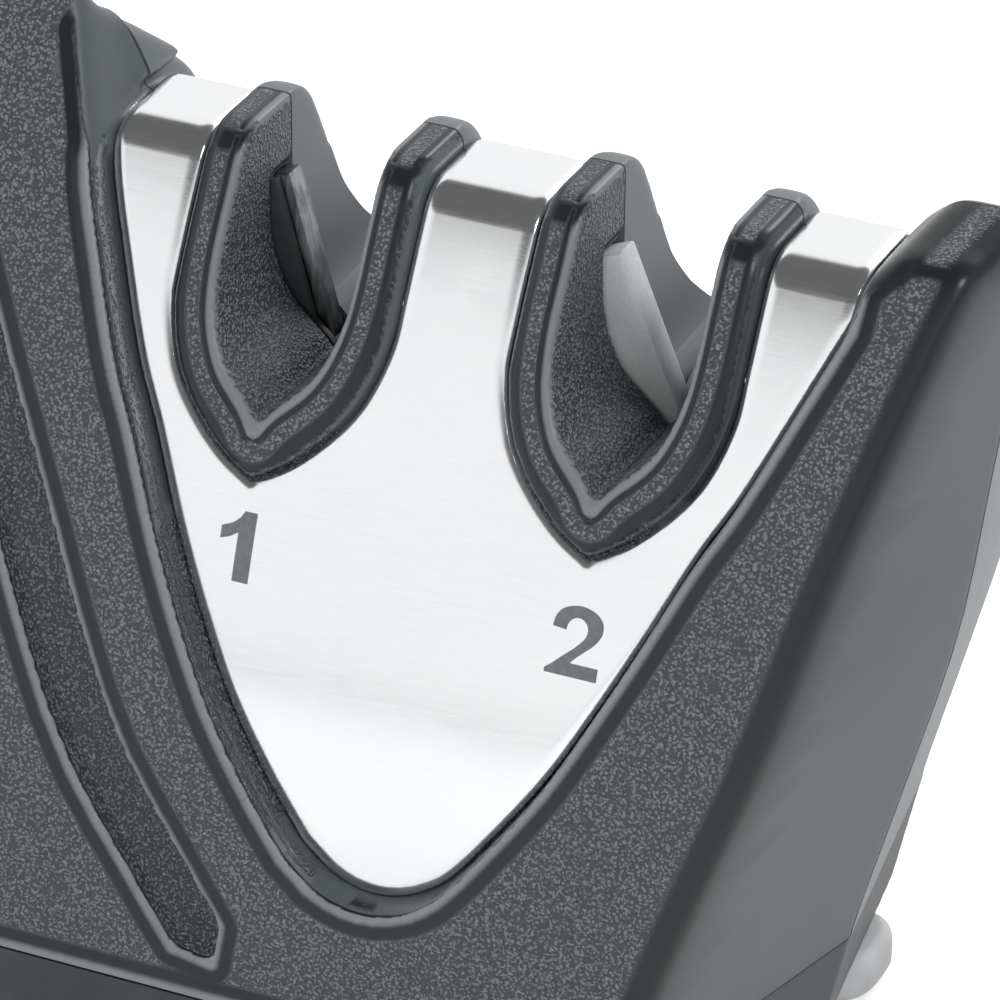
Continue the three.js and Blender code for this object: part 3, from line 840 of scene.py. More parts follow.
@dataclass(frozen=True)
class PlainPlastic:
    """Near-black moulded plastic with a very fine spark-eroded texture."""

    name: str = "inner_plastic"
    colour: tuple[float, float, float] = (0.034, 0.038, 0.042)
    scuffed: tuple[float, float, float] = (0.06, 0.065, 0.07)
    grain: float = 4000
    depth: float = 0.02 * MM

    def dress(self) -> bpy.types.Material:
        """Makes the material.

        Returns:
            The material.
        """
        made = Material(self.name, {"IOR": 1.48, "Specular IOR Level": 0.45})
        fine = made.noise(self.grain, 3)
        broad = made.noise(90, 5)
        colour = made.mixed(made.limit(broad, 0.35, 0.7), self.colour, self.scuffed)
        return made.drive(Base_Color=colour, Roughness=broad * 0.15 + 0.4,
                          Normal=made.bump(fine * self.depth, 1))


@dataclass(frozen=True)
class BrushedSteel:
    """Stainless sheet brushed along its width, with hair-fine lines of uneven gloss."""

    name: str = "cover_steel"
    dull: tuple[float, float, float] = (0.85, 0.862, 0.873)
    bright: tuple[float, float, float] = (0.915, 0.925, 0.933)
    stretch: tuple[float, float, float] = (0.025, 1, 1)
    lines: float = 11000
    roughness: Span = (0.13, 0.2)
    depth: float = 0.0007 * MM

    def dress(self) -> bpy.types.Material:
        """Makes the material.

        Returns:
            The material.
        """
        made = Material(self.name, {"Metallic": 1.0, "Anisotropic": 0.3})
        hair = made.noise(self.lines, 4, self.stretch)
        cloud = made.noise(45, 3)
        tone = made.limit(hair, *NOISE_SPAN) * 0.5 + made.limit(cloud, *NOISE_SPAN) * 0.5
        rough = made.limit(hair, *NOISE_SPAN, *self.roughness)
        return made.drive(Base_Color=made.mixed(tone, self.dull, self.bright), Roughness=rough,
                          Normal=made.bump(hair * self.depth, 1))


@dataclass(frozen=True)
class GroundMetal:
    """Metal ground along its length, for the carbide bars and the screws."""

    name: str
    dark: tuple[float, float, float]
    light: tuple[float, float, float]
    roughness: float
    lines: float = 2500
    stretch: tuple[float, float, float] = (1, 1, 0.06)
    depth: float = 0.006 * MM

    def dress(self) -> bpy.types.Material:
        """Makes the material.

        Returns:
            The material.
        """
        made = Material(self.name, {"Metallic": 1.0})
        marks = made.noise(self.lines, 4, self.stretch)
        spots = made.noise(self.lines / 6, 3)
        tone = made.limit(marks, *NOISE_SPAN) * 0.6 + made.limit(spots, 0.35, 0.65) * 0.4
        rough = tone * 0.18 + (self.roughness - 0.09)
        return made.drive(Base_Color=made.mixed(tone, self.dark, self.light), Roughness=rough,
                          Normal=made.bump(marks * self.depth, 1))


@dataclass(frozen=True)
class FineCeramic:
    """Pale unglazed sharpening ceramic with a faint speckle."""

    name: str = "ceramic"
    shade: tuple[float, float, float] = (0.55, 0.575, 0.58)
    light: tuple[float, float, float] = (0.76, 0.78, 0.78)
    speckle: float = 3800
    depth: float = 0.008 * MM

    def dress(self) -> bpy.types.Material:
        """Makes the material.

        Returns:
            The material.
        """
        made = Material(self.name, {"IOR": 1.6, "Subsurface Weight": 0.12, "Subsurface Scale": 0.6 * MM,
                                    "Subsurface Radius": (1.0, 0.95, 0.9)})
        speck = made.noise(self.speckle, 4)
        cloud = made.noise(160, 4)
        tone = made.limit(speck, 0.35, 0.65) * 0.3 + made.limit(cloud, *NOISE_SPAN) * 0.7
        return made.drive(Base_Color=made.mixed(tone, self.shade, self.light), Roughness=speck * 0.2 + 0.38,
                          Normal=made.bump(speck * self.depth, 1))


@dataclass(frozen=True)
class SoftRubber:
    """Pale grey soft rubber that lets a little light in."""

    name: str = "foot_rubber"
    shade: tuple[float, float, float] = (0.42, 0.43, 0.44)
    light: tuple[float, float, float] = (0.56, 0.57, 0.58)
    depth: float = 0.02 * MM

    def dress(self) -> bpy.types.Material:
        """Makes the material.

        Returns:
            The material.
        """
        made = Material(self.name, {"IOR": 1.43, "Subsurface Weight": 0.35, "Subsurface Scale": 2 * MM,
                                    "Subsurface Radius": (1.0, 1.0, 1.0)})
        cloud = made.noise(120, 4)
        fine = made.noise(2600, 2)
        return made.drive(Base_Color=made.mixed(made.limit(cloud, *NOISE_SPAN), self.shade, self.light),
                          Roughness=cloud * 0.2 + 0.45, Normal=made.bump(fine * self.depth, 1))


@dataclass(frozen=True)
class PrintedInk:
    """Grey ink, a little thin in places."""

    name: str = "printed_ink"
    thin: tuple[float, float, float] = (0.17, 0.18, 0.19)
    full: tuple[float, float, float] = (0.13, 0.14, 0.15)

    def dress(self) -> bpy.types.Material:
        """Makes the material.

        Returns:
            The material.
        """
        made = Material(self.name, {"IOR": 1.45})
        spread = made.noise(1500, 4)
        return made.drive(Base_Color=made.mixed(made.limit(spread, *NOISE_SPAN), self.full, self.thin),
                          Roughness=spread * 0.2 + 0.45)


class Finish(Enum):
    """The finishes that the pieces choose from, with the name of the material slot that each one belongs to."""

    SHELL = ("shell_plastic", GrainedPlastic())
    INNER = ("inner_plastic", PlainPlastic())
    # The rear shell takes the same plastic painted lighter all over, as painted light on its back faces.
    REAR_SHELL = ("shell_plastic", GrainedPlastic("rear_plastic_painted_lighter", plain=(0.145, 0.162, 0.174)))
    STEEL = ("cover_steel", BrushedSteel())
    CARBIDE = ("carbide", GroundMetal("carbide", (0.2, 0.215, 0.22), (0.5, 0.52, 0.525), 0.4))
    CERAMIC = ("ceramic", FineCeramic())
    SCREW = ("screw_steel", GroundMetal("screw_steel", (0.42, 0.43, 0.45), (0.62, 0.63, 0.65), 0.3))
    RUBBER = ("foot_rubber", SoftRubber())
    INK = ("cover_steel", PrintedInk())


class Paintbox:
    """Makes each finish once and hands it out."""

    def __init__(self) -> None:
        """Starts with no material made."""
        self._made: dict[Finish, bpy.types.Material] = {}

    def apply(self, obj: bpy.types.Object, finish: Finish, *nodes: str) -> None:
        """Finishes a piece.

        Args:
            obj: The piece.
            finish: What it is finished with.
            nodes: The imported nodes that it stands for.
        """
        slot, recipe = finish.value
        if finish not in self._made:
            self._made[finish] = recipe.dress()
        finish_piece(obj, slot, self._made[finish], *nodes)


# Sub-assemblies


@dataclass(frozen=True)
class Softening:
    """How much an edge is rounded: how far the rounding reaches and how many passes make it."""

    reach: float
    passes: int


@dataclass(frozen=True)
class JointFace:
    """A flat face where a moulded piece meets another, and where it is trimmed to a crisp edge."""

    axis: int
    packed: float
    trimmed: float
    outward: int

    def direction(self, length: float = 1) -> Vector:
        """Out of the piece, square to the face.

        Args:
            length: How long the arrow is.

        Returns:
            The arrow.
        """
        way = Vector((0, 0, 0))
        way[self.axis] = self.outward * length
        return way


@dataclass
class Moulding:
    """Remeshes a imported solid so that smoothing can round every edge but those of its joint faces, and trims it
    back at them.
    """

    joints: tuple[JointFace, ...]
    voxel: float
    lap: float = 2 * MM
    flat: float = 0.02 * MM

    def blank(self, obj: bpy.types.Object) -> None:
        """Puts the solid in even faces, carried on past its joint faces so that rounding leaves them alone.

        Args:
            obj: The solid.
        """
        bm = bmesh.new()
        bm.from_mesh(obj.data)
        for joint in self.joints:
            faces = [f for f in bm.faces if all(abs(v.co[joint.axis] - joint.packed) < self.flat for v in f.verts)]
            pulled = bmesh.ops.extrude_face_region(bm, geom=faces)
            ends = [v for v in pulled["geom"] if isinstance(v, bmesh.types.BMVert)]
            bmesh.ops.translate(bm, verts=ends, vec=joint.direction(self.lap))
        bm.to_mesh(obj.data)
        bm.free()
        modifier(obj, "REMESH", mode="VOXEL", voxel_size=self.voxel)
        settle(obj)

    def trim(self, obj: bpy.types.Object) -> None:
        """Cuts the piece off at its joint faces and closes them.

        Args:
            obj: The piece.
        """
        bm = bmesh.new()
        bm.from_mesh(obj.data)
        for joint in self.joints:
            spot = Vector((0, 0, 0))
            spot[joint.axis] = joint.trimmed
            bmesh.ops.bisect_plane(bm, geom=[*bm.verts, *bm.edges, *bm.faces], dist=1e-7, plane_co=spot,
                                   plane_no=joint.direction(), clear_outer=True)
            rim = [edge for edge in bm.edges if edge.is_boundary]
            bmesh.ops.triangle_fill(bm, use_beauty=False, edges=rim, normal=joint.direction())
        bmesh.ops.recalc_face_normals(bm, faces=bm.faces)
        bm.to_mesh(obj.data)
        bm.free()


@dataclass
class MouldedShell:
    """One of the two shells, with its mould radii, its smooth pressed strips, its painted dark reflection, shade
    and highlights, and its grain.
    """

    head: HeadFrame
    section: Section
    shapes: FrontShapes
    node: str
    corner: float
    proud: float
    facing: int
    grained: bool
    joints: tuple[JointFace, ...]
    voxel: float = 0.38 * MM
    fine_passes: int = 5
    outer: Softening = field(default_factory=lambda: Softening(5 * MM, 80))
    rim: Softening = field(default_factory=lambda: Softening(2.6 * MM, 14))
    grip_passes: int = 150
    most_faces: int = 180_000
    snap: float = 0.2 * MM
    sharp: float = 32
    spot_step: float = 0.5 * MM
    face_slack: float = 0.8 * MM
    face_fade: Span = (0.45 * MM, MM)
    face_high: float = 8 * MM
    over_top: float = 1.5 * MM
    grip_fade: Span = (-62 * MM, -52 * MM)
    shade_angle: float = 50
    seam_clear: float = 0.4 * MM
    plate_margin: float = 1.5 * MM
    plate_near: float = 3 * MM
    plate_slack: float = 0.6 * MM
    slot_slack: float = 0.5 * MM
    recess_slack: float = 1.8 * MM
    # These two place the painted shade on the recess walls: how far out from the middle it starts, and how dark it
    # is.
    recess_from: float = 22 * MM
    recess_shade_share: float = 0.5
    sunk_from: float = 0.4 * MM
    collar_proud: float = 1.3 * MM
    collar_slack: float = 0.5 * MM
    collar_drop: float = 2.6 * MM
    right_part: float = 20 * MM
    side_turn: Span = (0.35, 0.6)
    # The lines below place the painted dark reflection: its width along the right edge on the front and on the end
    # face, and the facing, height and reach of it over the bends at the top.
    front_band: Span = (1.9, 2.7)
    side_band: Span = (0.8, 8)
    bend_from: Span = (0.58, 0.68)
    bend_to: Span = (0.86, 0.94)
    bend_turn: float = 0.2
    bend_low: float = 77 * MM
    bend_left: float = -32 * MM
    wall_below: float = 3 * MM
    wall_turn: float = 0.4
    valley_out: float = 5.5 * MM
    valley_end: float = -38.5 * MM
    far_off: float = 5
    mouth_step: float = 0.2 * MM
    mouth_reach: float = 28 * MM
    mouth_low: float = 55 * MM
    strip_middle: float = 1.4 * MM
    strip_half: float = 0.6 * MM
    strip_deep: float = 0.14 * MM
    guard_foot: Point = (-33.15 * MM, 79.6 * MM)
    guard_lean: float = 0.44
    guard_reach: float = 12 * MM
    guard_back: float = 1.9 * MM
    guard_margin: float = 0.7 * MM
    guard_high: float = 6 * MM
    slit_end: float = -46 * MM
    slit_clear: float = 0.9 * MM
    slit_out: float = 4 * MM
    scoop: tuple[Point, ...] = ((58, 3.0), (60.5, 2.9), (63, 1.9), (65.5, 0.9), (68, 0.35), (71, 0.3), (74, 0.6),
                                (77, 1.0), (80, 1.3), (84, 1.4))
    scoop_floor: float = -2 * MM
    scoop_half: float = 9.7 * MM
    scoop_fade: float = 3.5 * MM

    def build(self, paintbox: Paintbox) -> bpy.types.Object:
        """Makes the shell's piece.

        Args:
            paintbox: Where its finish comes from.

        Returns:
            The piece.
        """
        moulding = Moulding(self.joints, self.voxel)
        obj = merged_copy(self.node, f"{self.node}_moulding")
        if self.grained:
            cut(obj, self._guard_rim(), "UNION")
        outer, rim = (tree_of(spots) for spots in self._edge_spots(obj))
        moulding.blank(obj)
        self._true_faces(obj.data)
        if not self.grained:
            self._scoop_rear(obj.data)
        rows = coordinates(obj.data)
        x, _, z = self._across(rows)
        group_weights(obj, "outer", 1 - soft_step(distances(outer, rows), 0, self.outer.reach))
        group_weights(obj, "rim", 1 - soft_step(distances(rim, rows), 0, self.rim.reach))
        group_weights(obj, "grip", 1 - soft_step(x, *self.grip_fade))
        modifier(obj, "SMOOTH", factor=0.5, iterations=self.grip_passes, vertex_group="grip")
        modifier(obj, "SMOOTH", factor=0.5, iterations=self.outer.passes, vertex_group="outer")
        modifier(obj, "SMOOTH", factor=0.5, iterations=self.rim.passes, vertex_group="rim")
        modifier(obj, "SMOOTH", factor=0.5, iterations=self.fine_passes)
        settle(obj)
        if self.grained:
            self._press_strips(obj.data, rim)
        share = self.most_faces / (2 * len(obj.data.polygons))
        if share < 1:
            modifier(obj, "DECIMATE", ratio=share)
            settle(obj)
        moulding.trim(obj)
        self._paint(obj.data, rim, outer)
        smooth_shade(obj, self.shade_angle)
        paintbox.apply(obj, Finish.SHELL if self.grained else Finish.REAR_SHELL, self.node)
        return obj

    def _guard_rim(self) -> bpy.types.Object:
        """The wedge that carries the recess's left edge straight up into the guard.

        Returns:
            The wedge.
        """
        left, low = self.guard_foot
        crest = self.section.crest(low, self.guard_back)
        wedge = prism("guard_rim", crest, left - self.guard_reach, left, ALONG_X)
        top = low + self.guard_reach
        outline = [(left - 2 * self.guard_reach, low - MM), (left, low - MM), (left, low),
                   (left - self.guard_lean * self.guard_reach, top), (left - 2 * self.guard_reach, top)]
        cut(wedge, prism("guard_side", outline, -self.guard_reach, self.guard_reach, ALONG_Y), "INTERSECT")
        wedge.data.transform(Matrix.Translation(self.head.place(0, 0, 0)))
        return wedge

    def _scoop_rear(self, mesh: bpy.types.Mesh) -> None:
        """Draws the rear face in under each rear collar, so that its edge runs on without a step.

        Args:
            mesh: The rear shell's mesh.
        """
        rows = coordinates(mesh)
        x, out, z = self._across(rows)
        heights, offsets = (np.array(values) * MM for values in zip(*self.scoop))
        beside = np.minimum(np.abs(x - self.shapes.slots[0]), np.abs(x - self.shapes.slots[1]))
        share = 1 - soft_step(beside, self.scoop_half, self.scoop_half + self.scoop_fade)
        offset = self.proud + (np.interp(z, heights, offsets) - self.proud) * share
        most = self.section.depth(z, self.corner, offset)
        over = np.where((z > heights[0]) & (z < self.section.top), np.maximum(out - most, 0), 0)
        over = np.where(out > self.section.depth(z, self.corner, self.scoop_floor), over, 0)
        rows[:, 1] -= over * self.facing
        set_coordinates(mesh, rows)

    def _across(self, rows: np.ndarray) -> tuple[np.ndarray, np.ndarray, np.ndarray]:
        """Places across the head: X, distance out of the mid-plane on this shell's side, and Z."""
        return (rows[:, 0] - self.head.axis_x, (rows[:, 1] - self.head.mid_y) * self.facing, rows[:, 2])

    def _true_faces(self, mesh: bpy.types.Mesh) -> None:
        """Moves the vertices of the stepped outer face onto the smooth curve that it stands for.

        Args:
            mesh: The shell's mesh.
        """
        rows = coordinates(mesh)
        _, out, z = self._across(rows)
        stepped = self.section.faceted(z, self.corner, self.proud)
        near = (np.abs(out - stepped) < self.snap) & (z < self.section.top)
        shift = self.section.depth(z, self.corner, self.proud) - stepped
        rows[near, 1] += shift[near] * self.facing
        set_coordinates(mesh, rows)

    def _edge_spots(self, solid: bpy.types.Object) -> tuple[list[Vector], list[Vector]]:
        """Points along the solid's silhouette edges and along the edges drawn on its face.

        Args:
            solid: The solid before it is rounded.

        Returns:
            The silhouette's points and the face's points.
        """
        bm = bmesh.new()
        bm.from_mesh(solid.data)
        outer: list[Vector] = []
        rim: list[Vector] = []
        for edge in bm.edges:
            if len(edge.link_faces) != 2 or edge.calc_face_angle(0) < math.radians(self.sharp):
                continue
            start, end = (v.co for v in edge.verts)
            kind = self._kind((start + end) / 2)
            if kind is not None:
                (outer if kind else rim).extend(lengthwise(start, end, self.spot_step))
        bm.free()
        return outer, rim

    def _kind(self, spot: Vector) -> bool | None:
        """Sorts an edge by its middle.

        Args:
            spot: The middle of the edge.

        Returns:
            True for an edge of the silhouette, False for one on the face, and None for any other.
        """
        x = spot.x - self.head.axis_x
        out = (spot.y - self.head.mid_y) * self.facing
        if abs(spot.y - self.head.parting_y) < self.seam_clear:
            return None
        if self.grained and self._on_guard_line(x, spot.z):
            return False
        if self.grained and self._in_slit(x, out, spot.z):
            return None
        if x < self.grip_fade[1] or spot.z > self.section.top + self.over_top:
            return True
        off_face = out - float(self.section.depth(spot.z, self.corner, self.proud))
        on_face = abs(off_face) < self.face_slack
        if x > self.right_part and on_face and not self._near_plate(x, spot.z):
            return True
        on_plate = abs(x) < self.shapes.plate_half + self.plate_margin and spot.z < self.section.top + MM
        return False if on_face or on_plate and -self.collar_drop < off_face < 0 else None

    def _on_guard_line(self, x: float, z: float) -> bool:
        """Whether a place seen from the front is on the line of the recess's edge up the guard.

        Args:
            x: Across the head.
            z: Height.

        Returns:
            Whether it is.
        """
        left, low = self.guard_foot
        beside = abs(x - left + self.guard_lean * (z - low))
        return beside < self.guard_margin and low < z < self.section.top + self.guard_high

    def _in_slit(self, x: float, out: float, z: float) -> bool:
        """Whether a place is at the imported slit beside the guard's foot, which the wedge closes.

        Args:
            x: Across the head.
            out: Out of the mid-plane.
            z: Height.

        Returns:
            Whether it is.
        """
        left, low = self.guard_foot
        across = self.slit_end < x < left - self.slit_clear
        return across and low - MM < z < self.section.top + self.over_top and out > self.slit_out

    def _near_plate(self, x: float, z: float) -> bool:
        """Whether a place seen from the front is beside the plate's edge."""
        outline = self.shapes.plate()[2:]
        return min((x - px) ** 2 + (z - pz) ** 2 for px, pz in outline) < self.plate_near**2

    def _press_strips(self, mesh: bpy.types.Mesh, rim: KDTree) -> None:
        """Presses a shallow smooth strip into the face beside the recess and the channel, where the material
        paints a dark reflection.

        Args:
            mesh: The shell's mesh.
            rim: The edges on the face.
        """
        rows = coordinates(mesh)
        rows[:, 1] -= self.facing * self.strip_deep * self._strip(mesh, rows, rim)
        set_coordinates(mesh, rows)

    def _on_face(self, out: np.ndarray, z: np.ndarray) -> np.ndarray:
        """The share by which a place belongs to the shell's own outer face."""
        off = np.abs(out - self.section.depth(z, self.corner, self.proud))
        return (1 - soft_step(off, *self.face_fade)) * (z < self.section.top + self.face_high)

    def _strip(self, mesh: bpy.types.Mesh, rows: np.ndarray, rim: KDTree) -> np.ndarray:
        """The share of pressed strip at each vertex.

        Args:
            mesh: The shell's mesh.
            rows: Its vertices.
            rim: The edges on the face.

        Returns:
            The share at each vertex.
        """
        _, out, z = self._across(rows)
        off = (distances(rim, rows) - self.strip_middle) / self.strip_half
        return np.exp(-off * off) * self._on_face(out, z)

    def _paint(self, mesh: bpy.types.Mesh, rim: KDTree, outer: KDTree) -> None:
        """Paints where the grain, the collars and the painted dark reflection and shade are, and the distances
        from the edges that place the dark strips and the painted highlights.

        Args:
            mesh: The shell's mesh.
            rim: The edges on the face.
            outer: The edges of the silhouette.
        """
        rows = coordinates(mesh)
        x, out, z = self._across(rows)
        bare = np.zeros(len(rows))
        if not self.grained:
            for name in Attribute:
                paint(mesh, name.value, bare + self.far_off if name in (Attribute.RIM, Attribute.BEAD) else bare)
            return
        normals = self._normals(mesh)
        half = np.interp(z, *self._plate_half())
        beside = np.minimum(np.abs(x - self.shapes.slots[0]), np.abs(x - self.shapes.slots[1]))
        in_slot = beside < self.shapes.slot_half + self.slot_slack
        on_collar = np.abs(self._over_saddle(out, z, self.collar_proud)) < self.collar_slack
        on_collar &= np.abs(x) < half + self.plate_slack
        sunk = (np.abs(x) < half + self.recess_slack) & ~on_collar & ~in_slot
        sunk &= self._over_saddle(out, z, self.proud) < -self.sunk_from
        in_valley = (out < self.valley_out) & (x < 0) & (x > self.valley_end)
        wall = (z > self.section.top - self.wall_below) & (np.abs(x) > self.shapes.plate_half - MM)
        wall &= (np.abs(normals[:, 0]) > self.wall_turn) | in_valley
        side = (x > self.right_part) * soft_step(normals[:, 0], *self.side_turn)
        from_rim = self.far_off - np.minimum(distances(rim, rows) / MM, self.far_off)
        # Painted shade and dark reflection: the recess walls away from the middle are darkened halfway towards
        # near-black, and the bends over the top and the head's right edge fully.
        recess = self.recess_shade_share * (sunk & ~wall & (np.abs(x) > self.recess_from))
        painted_dark_band = np.maximum(np.maximum(self._bend(x, z, normals), self._corner(x, rows, side, outer)), recess)
        paint(mesh, Attribute.GRAIN.value, np.where(wall | sunk, 0, 1 - side))
        paint(mesh, Attribute.RIM.value, self.far_off - from_rim * self._on_face(out, z))
        paint(mesh, Attribute.COLLAR.value, on_collar)
        paint(mesh, Attribute.PAINTED_DARK_BAND.value, painted_dark_band)
        paint(mesh, Attribute.BEAD.value, self._bead(x, z) / MM)

    def _bend(self, x: np.ndarray, z: np.ndarray, normals: np.ndarray) -> np.ndarray:
        """The share of painted dark reflection where the collars and the shoulder bend over the top, chosen by
        which way each vertex faces.

        Args:
            x: Places across the head.
            z: Heights.
            normals: The vertex normals.

        Returns:
            The share at each vertex.
        """
        painted_dark_band = soft_step(normals[:, 2], *self.bend_from) * (1 - soft_step(normals[:, 2], *self.bend_to))
        return painted_dark_band * (z > self.bend_low) * (normals[:, 1] * self.facing > self.bend_turn) * (x > self.bend_left)

    def _corner(self, x: np.ndarray, rows: np.ndarray, side: np.ndarray, outer: KDTree) -> np.ndarray:
        """The share of painted dark reflection along the head's right edge, which fades out on the end face.

        Args:
            x: Places across the head.
            rows: The vertices.
            side: The share by which each is on the end face.
            outer: The edges of the silhouette.

        Returns:
            The share at each vertex.
        """
        far = distances(outer, rows) / MM
        painted_dark_band = (1 - side) * (1 - soft_step(far, *self.front_band)) + side * (1 - soft_step(far, *self.side_band))
        return painted_dark_band * (x > self.right_part)

    def _over_saddle(self, out: np.ndarray, z: np.ndarray, offset: float) -> np.ndarray:
        """How far a place lies outside the saddle at that offset."""
        face = out - self.section.depth(z, self.corner, offset)
        return np.maximum(face / np.sqrt(1 + self.section.slope(z) ** 2), z - self.section.top - offset)

    def _plate_half(self) -> tuple[np.ndarray, np.ndarray]:
        """Heights and the plate's half width at each."""
        right = sorted((z, x) for x, z in self.shapes.plate() if x > 0)
        return np.array([z for z, _ in right]), np.array([x for _, x in right])

    def _bead(self, x: np.ndarray, z: np.ndarray) -> np.ndarray:
        """The distance from the outline of the nearest slot, seen from the front, up to 5 mm.

        Args:
            x: Places across the head.
            z: Heights.

        Returns:
            The distance at each place.
        """
        spots = [spot for slot in self.shapes.slots
                 for (x0, z0), (x1, z1) in self._sides(self.shapes.slot(slot))
                 for spot in lengthwise(Vector((x0, 0, z0)), Vector((x1, 0, z1)), self.mouth_step)]
        tree = tree_of(spots)
        most = self.far_off * MM
        far = np.full(len(x), most)
        near = np.nonzero((np.abs(x) < self.mouth_reach) & (z > self.mouth_low))[0]
        flat = np.stack([x[near], np.zeros(len(near)), z[near]], 1)
        far[near] = np.minimum(distances(tree, flat), most)
        return far

    @staticmethod
    def _sides(outline: list[Point]) -> list[tuple[Point, Point]]:
        """Pairs of neighbouring points, without the side that closes the outline's top."""
        return list(zip(outline[1:], outline[2:] + outline[:1]))

    @staticmethod
    def _normals(mesh: bpy.types.Mesh) -> np.ndarray:
        """The vertex normals as rows.

        Args:
            mesh: The mesh.

        Returns:
            One row for each vertex.
        """
        flat = np.zeros(len(mesh.vertices) * 3, np.float32)
        mesh.vertices.foreach_get("normal", flat)
        return flat.reshape(-1, 3)


@dataclass
class SteelCover:
    """The saddle plate: one bent sheet whose notches are drawn down at their edges."""

    head: HeadFrame
    section: Section
    shapes: FrontShapes
    thick: float = 0.8 * MM
    lip: float = 6 * MM
    far: float = 60 * MM
    strip: float = 1 * MM
    longest: float = 0.4 * MM
    beside: float = 1.7 * MM
    roll_wide: float = 1.15 * MM
    roll_deep: float = 0.38 * MM
    steepest: float = 0.06
    level: float = 0.9 * MM
    merge: float = 0.01 * MM
    sharp: float = 50
    shade_angle: float = 35
    rim_step: float = 0.06 * MM
    path_steps: int = 96
    fine_path_steps: int = 400
    path_step: float = 0.05 * MM
    face_slack: float = 0.06 * MM
    sliver: float = 1e-10

    def build(self, paintbox: Paintbox) -> bpy.types.Object:
        """Makes the cover's piece.

        Args:
            paintbox: Where its finish comes from.

        Returns:
            The piece.
        """
        sheet = self._saddle("steel_cover_sheet", 0)
        cut(sheet, self._saddle("inside", -self.thick), "DIFFERENCE")
        cut(sheet, self._region(), "INTERSECT")
        for x in self.shapes.slots:
            cut(sheet, prism("notch", self.shapes.notch(x), -self.far, self.far, ALONG_Y), "DIFFERENCE")
        self._tidy(sheet)
        rim = self._rim(sheet)
        self._divide(sheet, rim)
        self._roll(sheet, rim)
        sheet.data.transform(Matrix.Translation(self.head.place(0, 0, 0)))
        paintbox.apply(sheet, Finish.STEEL, "steel_cover")
        return sheet

    def _saddle(self, name: str, offset: float) -> bpy.types.Object:
        """The saddle as a solid, a little wider than the plate.

        Args:
            name: The solid's name.
            offset: How far it lies outside the plate's outer face.

        Returns:
            The solid.
        """
        path = self.section.outline(offset, self.path_steps)
        path = [(path[0][0], -self.shapes.gap), *path, (path[-1][0], -self.shapes.gap)]
        wide = self.shapes.plate_half + 4 * self.shapes.gap
        return prism(name, path, -wide, wide, ALONG_X)

    def _region(self) -> bpy.types.Object:
        """The V at the front and the lip at the rear, joined.

        Returns:
            The solid that the plate is cut with.
        """
        front = prism("front_region", self.shapes.plate(), -self.far, self.shapes.gap, ALONG_Y)
        half = self.shapes.plate_half
        low, high = self.section.top - self.lip, self.section.top + self.far
        box = [(-half, low), (half, low), (half, high), (-half, high)]
        cut(front, prism("rear_region", box, 0, self.far, ALONG_Y), "UNION")
        return front

    @staticmethod
    def _tidy(sheet: bpy.types.Object) -> None:
        """Takes out the slivers that cutting leaves.

        Args:
            sheet: The cut sheet.
        """
        bm = bmesh.new()
        bm.from_mesh(sheet.data)
        bmesh.ops.remove_doubles(bm, verts=bm.verts, dist=SteelCover.merge)
        bmesh.ops.dissolve_degenerate(bm, edges=bm.edges, dist=SteelCover.merge)
        bmesh.ops.recalc_face_normals(bm, faces=bm.faces)
        bm.to_mesh(sheet.data)
        bm.free()

    def _rim(self, sheet: bpy.types.Object) -> KDTree:
        """Points along the edges of the sheet's outer face.

        Args:
            sheet: The cut sheet.

        Returns:
            The points, as a tree.
        """
        bm = bmesh.new()
        bm.from_mesh(sheet.data)
        _, on_face = self._outer_face(coordinates(sheet.data))
        spots = [spot for edge in bm.edges
                 if edge.calc_face_angle(0) > math.radians(self.sharp)
                 and all(on_face[vert.index] for vert in edge.verts)
                 and all(face.calc_area() > self.sliver for face in edge.link_faces)
                 for spot in lengthwise(edge.verts[0].co, edge.verts[1].co, self.rim_step)]
        bm.free()
        return tree_of(spots)

    def _divide(self, sheet: bpy.types.Object, rim: KDTree) -> None:
        """Divides the sheet into even strips, and into small faces where its edges are rolled.

        Args:
            sheet: The cut sheet.
            rim: The edges of its outer face.
        """
        bm = bmesh.new()
        bm.from_mesh(sheet.data)
        for x in np.arange(-self.shapes.plate_half, self.shapes.plate_half, self.strip)[1:]:
            bmesh.ops.bisect_plane(bm, geom=[*bm.verts, *bm.edges, *bm.faces], dist=1e-6, plane_co=(x, 0, 0),
                                   plane_no=(1, 0, 0))
        bmesh.ops.triangulate(bm, faces=bm.faces)
        for _ in range(5):
            long_edges = [edge for edge in bm.edges if edge.calc_length() > self.longest
                          and rim.find((edge.verts[0].co + edge.verts[1].co) / 2)[2] < self.beside]
            if not long_edges:
                break
            bmesh.ops.subdivide_edges(bm, edges=long_edges, cuts=1)
            bmesh.ops.triangulate(bm, faces=[f for f in bm.faces if len(f.verts) > 3])
        bm.to_mesh(sheet.data)
        bm.free()

